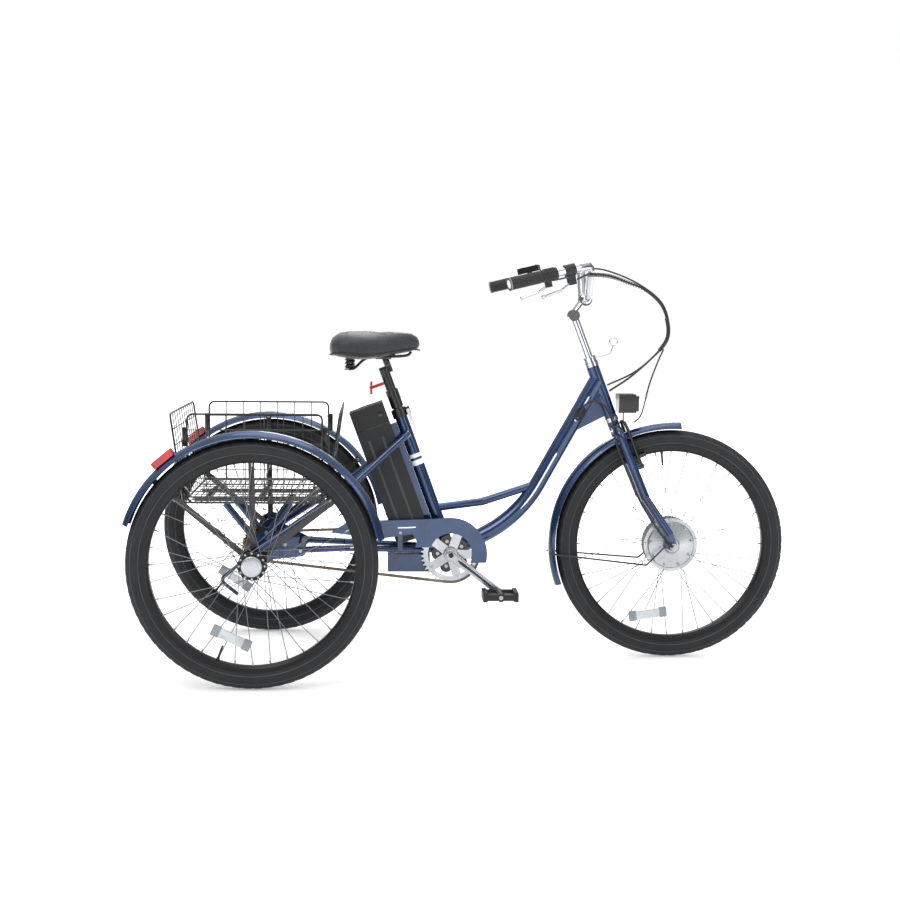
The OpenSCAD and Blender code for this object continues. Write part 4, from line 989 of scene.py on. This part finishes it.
# oval rubber grommet where the motor's cable leaves the down tube
grommetAt = Vector((0.315, -0.0215, 0.706))
oval = []
for k in range(40):
    t = math.tau * k / 40
    beside = Vector((0.8733, 0, -0.4872))
    oval.append(grommetAt + tubeDir * 0.019 * math.cos(t) + beside * 0.0125 * math.sin(t)
                + Vector((0, -0.001, 0)))
piece("cableGrommet", [sweep(oval, 0.0034, 10, closed=True),
                       sweep([grommetAt + Vector((0, 0.004, 0)), grommetAt - Vector((0, 0.003, 0))],
                             [0.014, 0.011], 24)], gripRubber, "frame")

# battery: two pale grooves a side, an end cap and a carrying handle

# a place in the seat tube's own frame, in metres
def onSeat(x, y, z):
    return crank + seatAxes @ Vector((x, y, z))


grooves = [block((0.0072, 0.002, 0.285), onSeat(x, hand * 0.0452, 0.237), seatAxes, 0.0009)
           for x in (-0.1075, -0.0675) for hand in (-1, 1)]
piece("batteryGrooves", grooves, greyAbs, "battery")
caseParts = [block((0.0985, 0.0925, 0.004), onSeat(-0.0845, 0, z), seatAxes, 0.0018)
             for z in (0.104, 0.412)]
caseParts.append(sweep(curve([onSeat(-0.112, 0, 0.469), onSeat(-0.1, 0, 0.4705),
                              onSeat(-0.07, 0, 0.4705), onSeat(-0.056, 0, 0.469)], 6), 0.004, 12))
caseParts.append(lathe([(0.0001, 0.002), (0.007, 0.0018), (0.008, 0.0)],
                       onSeat(-0.052, -0.046, 0.44), (0, -1, 0), 24))
piece("batteryTrim", caseParts, glossAbs, "battery")

# grip ribs and grey end rings. The bar's end and direction are given for the left hand.
gripSpec = {"end": (0.0818, 0.31, 1.0637), "inward": (0.93592, -0.26989, 0.22636),
            "r": 0.0157, "ribR": 0.0166, "ribGap": 0.006, "ribs": 13, "lines": 14}
for key, hand in (("right", -1), ("left", 1)):
    end, inward = Vector(gripSpec["end"]), Vector(gripSpec["inward"])
    end.y *= hand
    inward.y *= hand
    ribs = [lathe([(gripSpec["r"], a), (gripSpec["ribR"], a + 0.0006),
                   (gripSpec["ribR"], a + 0.0016), (gripSpec["r"], a + 0.0022)],
                  end, inward, 40)
            for a in (0.008 + gripSpec["ribGap"] * k for k in range(gripSpec["ribs"]))]
    for k in range(gripSpec["lines"]):
        t = math.tau * k / gripSpec["lines"]
        u, v = axes(inward).col[0], axes(inward).col[1]
        foot = end + (u * math.cos(t) + v * math.sin(t)) * 0.0159
        ribs.append(sweep([foot + inward * 0.006, foot + inward * 0.088], 0.0008, 6))
    piece(key + "GripRibs", ribs, gripRubber, "steering")
    piece(key + "GripRing", [lathe([(0.0155, 0.0), (0.0179, 0.0), (0.0179, 0.0034),
                                    (0.0155, 0.0036)], end, inward, 48)],
          greyRubber, "steering")
screenEnd, along = Vector(gripSpec["end"]), Vector(gripSpec["inward"])
upBar = Vector((-0.21751, 0.06272, 0.97404))
barBasis = Matrix((upBar, along.cross(upBar), along)).transposed()
screenAt = screenEnd + upBar * 0.0342 + along * 0.133
piece("displayScreen", [block((0.0012, 0.032, 0.036), screenAt, barBasis, 0.0005)], screenGlass,
      "steering")
piece("displayFrame", [block((0.0022, 0.0385, 0.0025), screenAt + along * s * 0.0195, barBasis,
                             0.0008) for s in (-1, 1)], greyAbs, "steering")

# headlamp lens and chromed bezel
lampHigh = Vector(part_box("headlight")[1])
lampMid = Vector((lampHigh.x, 0, lampHigh.z - 0.026))
lensParts = [lathe([(0.0001, -0.0004), (0.013, -0.0012), (0.0205, -0.0045), (0.0215, -0.007)],
                   lampMid, (1, 0, 0), 48)]
piece("lampLens", lensParts, lampLens, "steering")
piece("lampBezel", [lathe([(0.021, -0.009), (0.0245, -0.009), (0.0245, -0.0015),
                           (0.0225, -0.0004), (0.021, -0.0015)], lampMid, (1, 0, 0), 48)],
      chromePlate, "steering")

# cover screws of the hub motor
motorSpec = {"screws": 9, "screwR": 0.062, "coverY": 0.0405}
screws = []
for hand in (-1, 1):
    for k in range(motorSpec["screws"]):
        t = math.tau * (k + 0.3) / motorSpec["screws"]
        place = frontHub + Vector((motorSpec["screwR"] * math.cos(t), hand * motorSpec["coverY"],
                                   motorSpec["screwR"] * math.sin(t)))
        screws.append(lathe([(0.0001, 0.0012), (0.003, 0.001), (0.0036, -0.002)], place,
                            (0, hand, 0), 14))
piece("motorScrews", screws, zincPlate, "front_wheel")

# lens ribs and black trays of the fender reflectors
for key, hand in (("right", -1), ("left", 1)):
    t = math.radians(129.5)
    out = radial(t)
    tangent = rimward(t)
    basis = Matrix((tangent, (0, 1, 0), out)).transposed()
    place = rearHubs[key] + out * 0.3555
    piece(key + "ReflectorTray", [block((0.0625, 0.0395, 0.009), place, basis, 0.003)], blackAbs,
          "frame")
    ribs = [block((0.0022, 0.034, 0.0008),
                  rearHubs[key] + out * 0.3686 + tangent * (k - 6) * 0.0044, basis, 0.0003)
            for k in range(13)]
    piece(key + "ReflectorRibs", ribs, redAcrylic, "frame")

# bolts on axle plates, stays and guard
bolts = []
for hand in (-1, 1):
    for x, z in ((0.112, -0.006), (0.018, 0.046), (-0.02, 0.018), (0.07, 0.012)):
        bolts.append(lathe([(0.0001, 0.005), (0.0052, 0.005), (0.006, 0.0)],
                           Vector((rearHubs["right"].x + x, hand * 0.0955, 0.33 + z)),
                           (0, hand, 0), 6))
    for degrees in (38, 91, 140):
        t = math.radians(degrees)
        bolts.append(lathe([(0.0001, 0.003), (0.004, 0.003), (0.0046, 0.0)],
                           Vector((rearHubs["right"].x + 0.338 * math.cos(t), hand * 0.316,
                                   0.33 + 0.338 * math.sin(t))), (0, -hand, 0), 12))
for x, z in ((-0.143, 0.062), (-0.255, 0.062)):
    bolts.append(lathe([(0.0001, 0.0025), (0.0042, 0.0022), (0.005, 0.0)],
                       Vector((crank.x + x, -0.061, crank.z + z)), (0, -1, 0), 16))
piece("frameBolts", bolts, zincPlate, "frame")
axleNuts = [lathe([(0.0065, 0.0), (0.0098, 0.0), (0.0104, 0.002), (0.0065, 0.002)],
                  frontHub + Vector((0, hand * 0.0661, 0)), (0, hand, 0), 40) for hand in (-1, 1)]
piece("frontAxleWashers", axleNuts, zincPlate, "steering")
print("trims")


def addLight(name, place, target, size, power):
    data = bpy.data.lights.new(name, "AREA")
    data.shape = "DISK"
    data.size = size
    data.energy = power
    light = bpy.data.objects.new(name, data)
    light.location = place
    light.rotation_euler = (Vector(target) - Vector(place)).to_track_quat("-Z", "Y").to_euler()
    bpy.context.collection.objects.link(light)
    return light


floorPaint = surface("paleStudioFloor", ("#e4e4e4", "#eaeaea"), (0.6, 0.75), 60, 0.01,
                     mottleMm=900, emission=("#ffffff", 0.3))
# the floor glows more with distance, so it meets the white behind it without an edge
paint = floorPaint.node_tree
reach = addNode(paint, "ShaderNodeVectorMath", {
    "Vector": addNode(paint, "ShaderNodeTexCoord").outputs["Object"]}, operation="LENGTH")
glow = addNode(paint, "ShaderNodeMapRange", {
    "Value": reach.outputs["Value"], "From Min": 1.1, "From Max": 2.6,
    "To Min": 0.3, "To Max": 1.1})
shader = next(n for n in paint.nodes if n.type == "BSDF_PRINCIPLED")
paint.links.new(glow.outputs[0], shader.inputs["Emission Strength"])
floorMesh = bpy.data.meshes.new("floor")
floorHalf = 12.0
floorMesh.from_pydata([(x * floorHalf, y * floorHalf, -0.0005) for x, y in (
    (-1, -1), (1, -1), (1, 1), (-1, 1))], [], [(0, 1, 2, 3)])  # one square just under the tyres
floor = bpy.data.objects.new("floor", floorMesh)
floorMesh.materials.append(floorPaint)
bpy.context.collection.objects.link(floor)
# place, aim, size in metres and power in watts
lightSpec = {"keyLight": ((-1.8, -3.2, 3.6), (0, 0, 0.5), 2.6, 80),
             "fillLight": ((3.0, -2.6, 2.4), (0, 0, 0.5), 2.4, 32),
             "rimLight": ((0.4, 3.4, 3.0), (0, 0, 0.6), 2.4, 60),
             "topLight": ((0, 0, 4.6), (0, 0, 0), 3.4, 52)}
lights = [addLight(name, *light) for name, light in lightSpec.items()]

# grey or white level of the surroundings, from just below the horizon to overhead
skySpec = {"walls": [(0.0, 0.5), (0.2, 0.16), (0.38, 0.3), (0.6, 0.85), (1.0, 1.0)],
           "behind": "#ffffff"}
world = bpy.data.worlds.new("studio")
world.use_nodes = True
sky = world.node_tree
sky.nodes.clear()
# what shines on the object is a soft box above and darker walls; behind it all is white
direction = addNode(sky, "ShaderNodeSeparateXYZ",
                    {"Vector": addNode(sky, "ShaderNodeTexCoord").outputs["Generated"]})
height = addNode(sky, "ShaderNodeMapRange", {
    "Value": direction.outputs["Z"], "From Min": -0.2, "From Max": 1.0})
walls = addNode(sky, "ShaderNodeValToRGB", {"Fac": height.outputs[0]}, stops=skySpec["walls"])
backdrop = addNode(sky, "ShaderNodeMix", {
    "Factor": addNode(sky, "ShaderNodeLightPath").outputs["Is Camera Ray"]}, data_type="RGBA")
sky.links.new(walls.outputs["Color"], backdrop.inputs[6])
backdrop.inputs[7].default_value = linear(skySpec["behind"])
background = addNode(sky, "ShaderNodeBackground", {"Color": backdrop.outputs[2]})
sky.links.new(background.outputs[0],
              addNode(sky, "ShaderNodeOutputWorld").inputs["Surface"])
bpy.context.scene.world = world
bpy.context.scene.view_settings.view_transform = "Standard"

# standing a little behind and to the right, at chest height
view = {"place": (-0.2651, -4.0997, 1.0015), "yaw": 2.971, "down": 5.605, "roll": 0.522,
        "lens": 57.95}
yaw, down, roll = (math.radians(view[k]) for k in ("yaw", "down", "roll"))
ahead = Vector((math.sin(yaw) * math.cos(down), math.cos(yaw) * math.cos(down), -math.sin(down)))
level = Vector((math.cos(yaw), -math.sin(yaw), 0))
above = level.cross(ahead)
rightward = math.cos(roll) * level + math.sin(roll) * above
upward = math.cos(roll) * above - math.sin(roll) * level
cameraData = bpy.data.cameras.new("camera")
cameraData.lens = view["lens"]
cameraData.sensor_width = 36
camera = bpy.data.objects.new("camera", cameraData)
turn = Matrix((rightward, upward, -ahead)).transposed().to_4x4()
camera.matrix_world = Matrix.Translation(view["place"]) @ turn
bpy.context.collection.objects.link(camera)
bpy.context.scene.camera = camera
print("stage and camera")
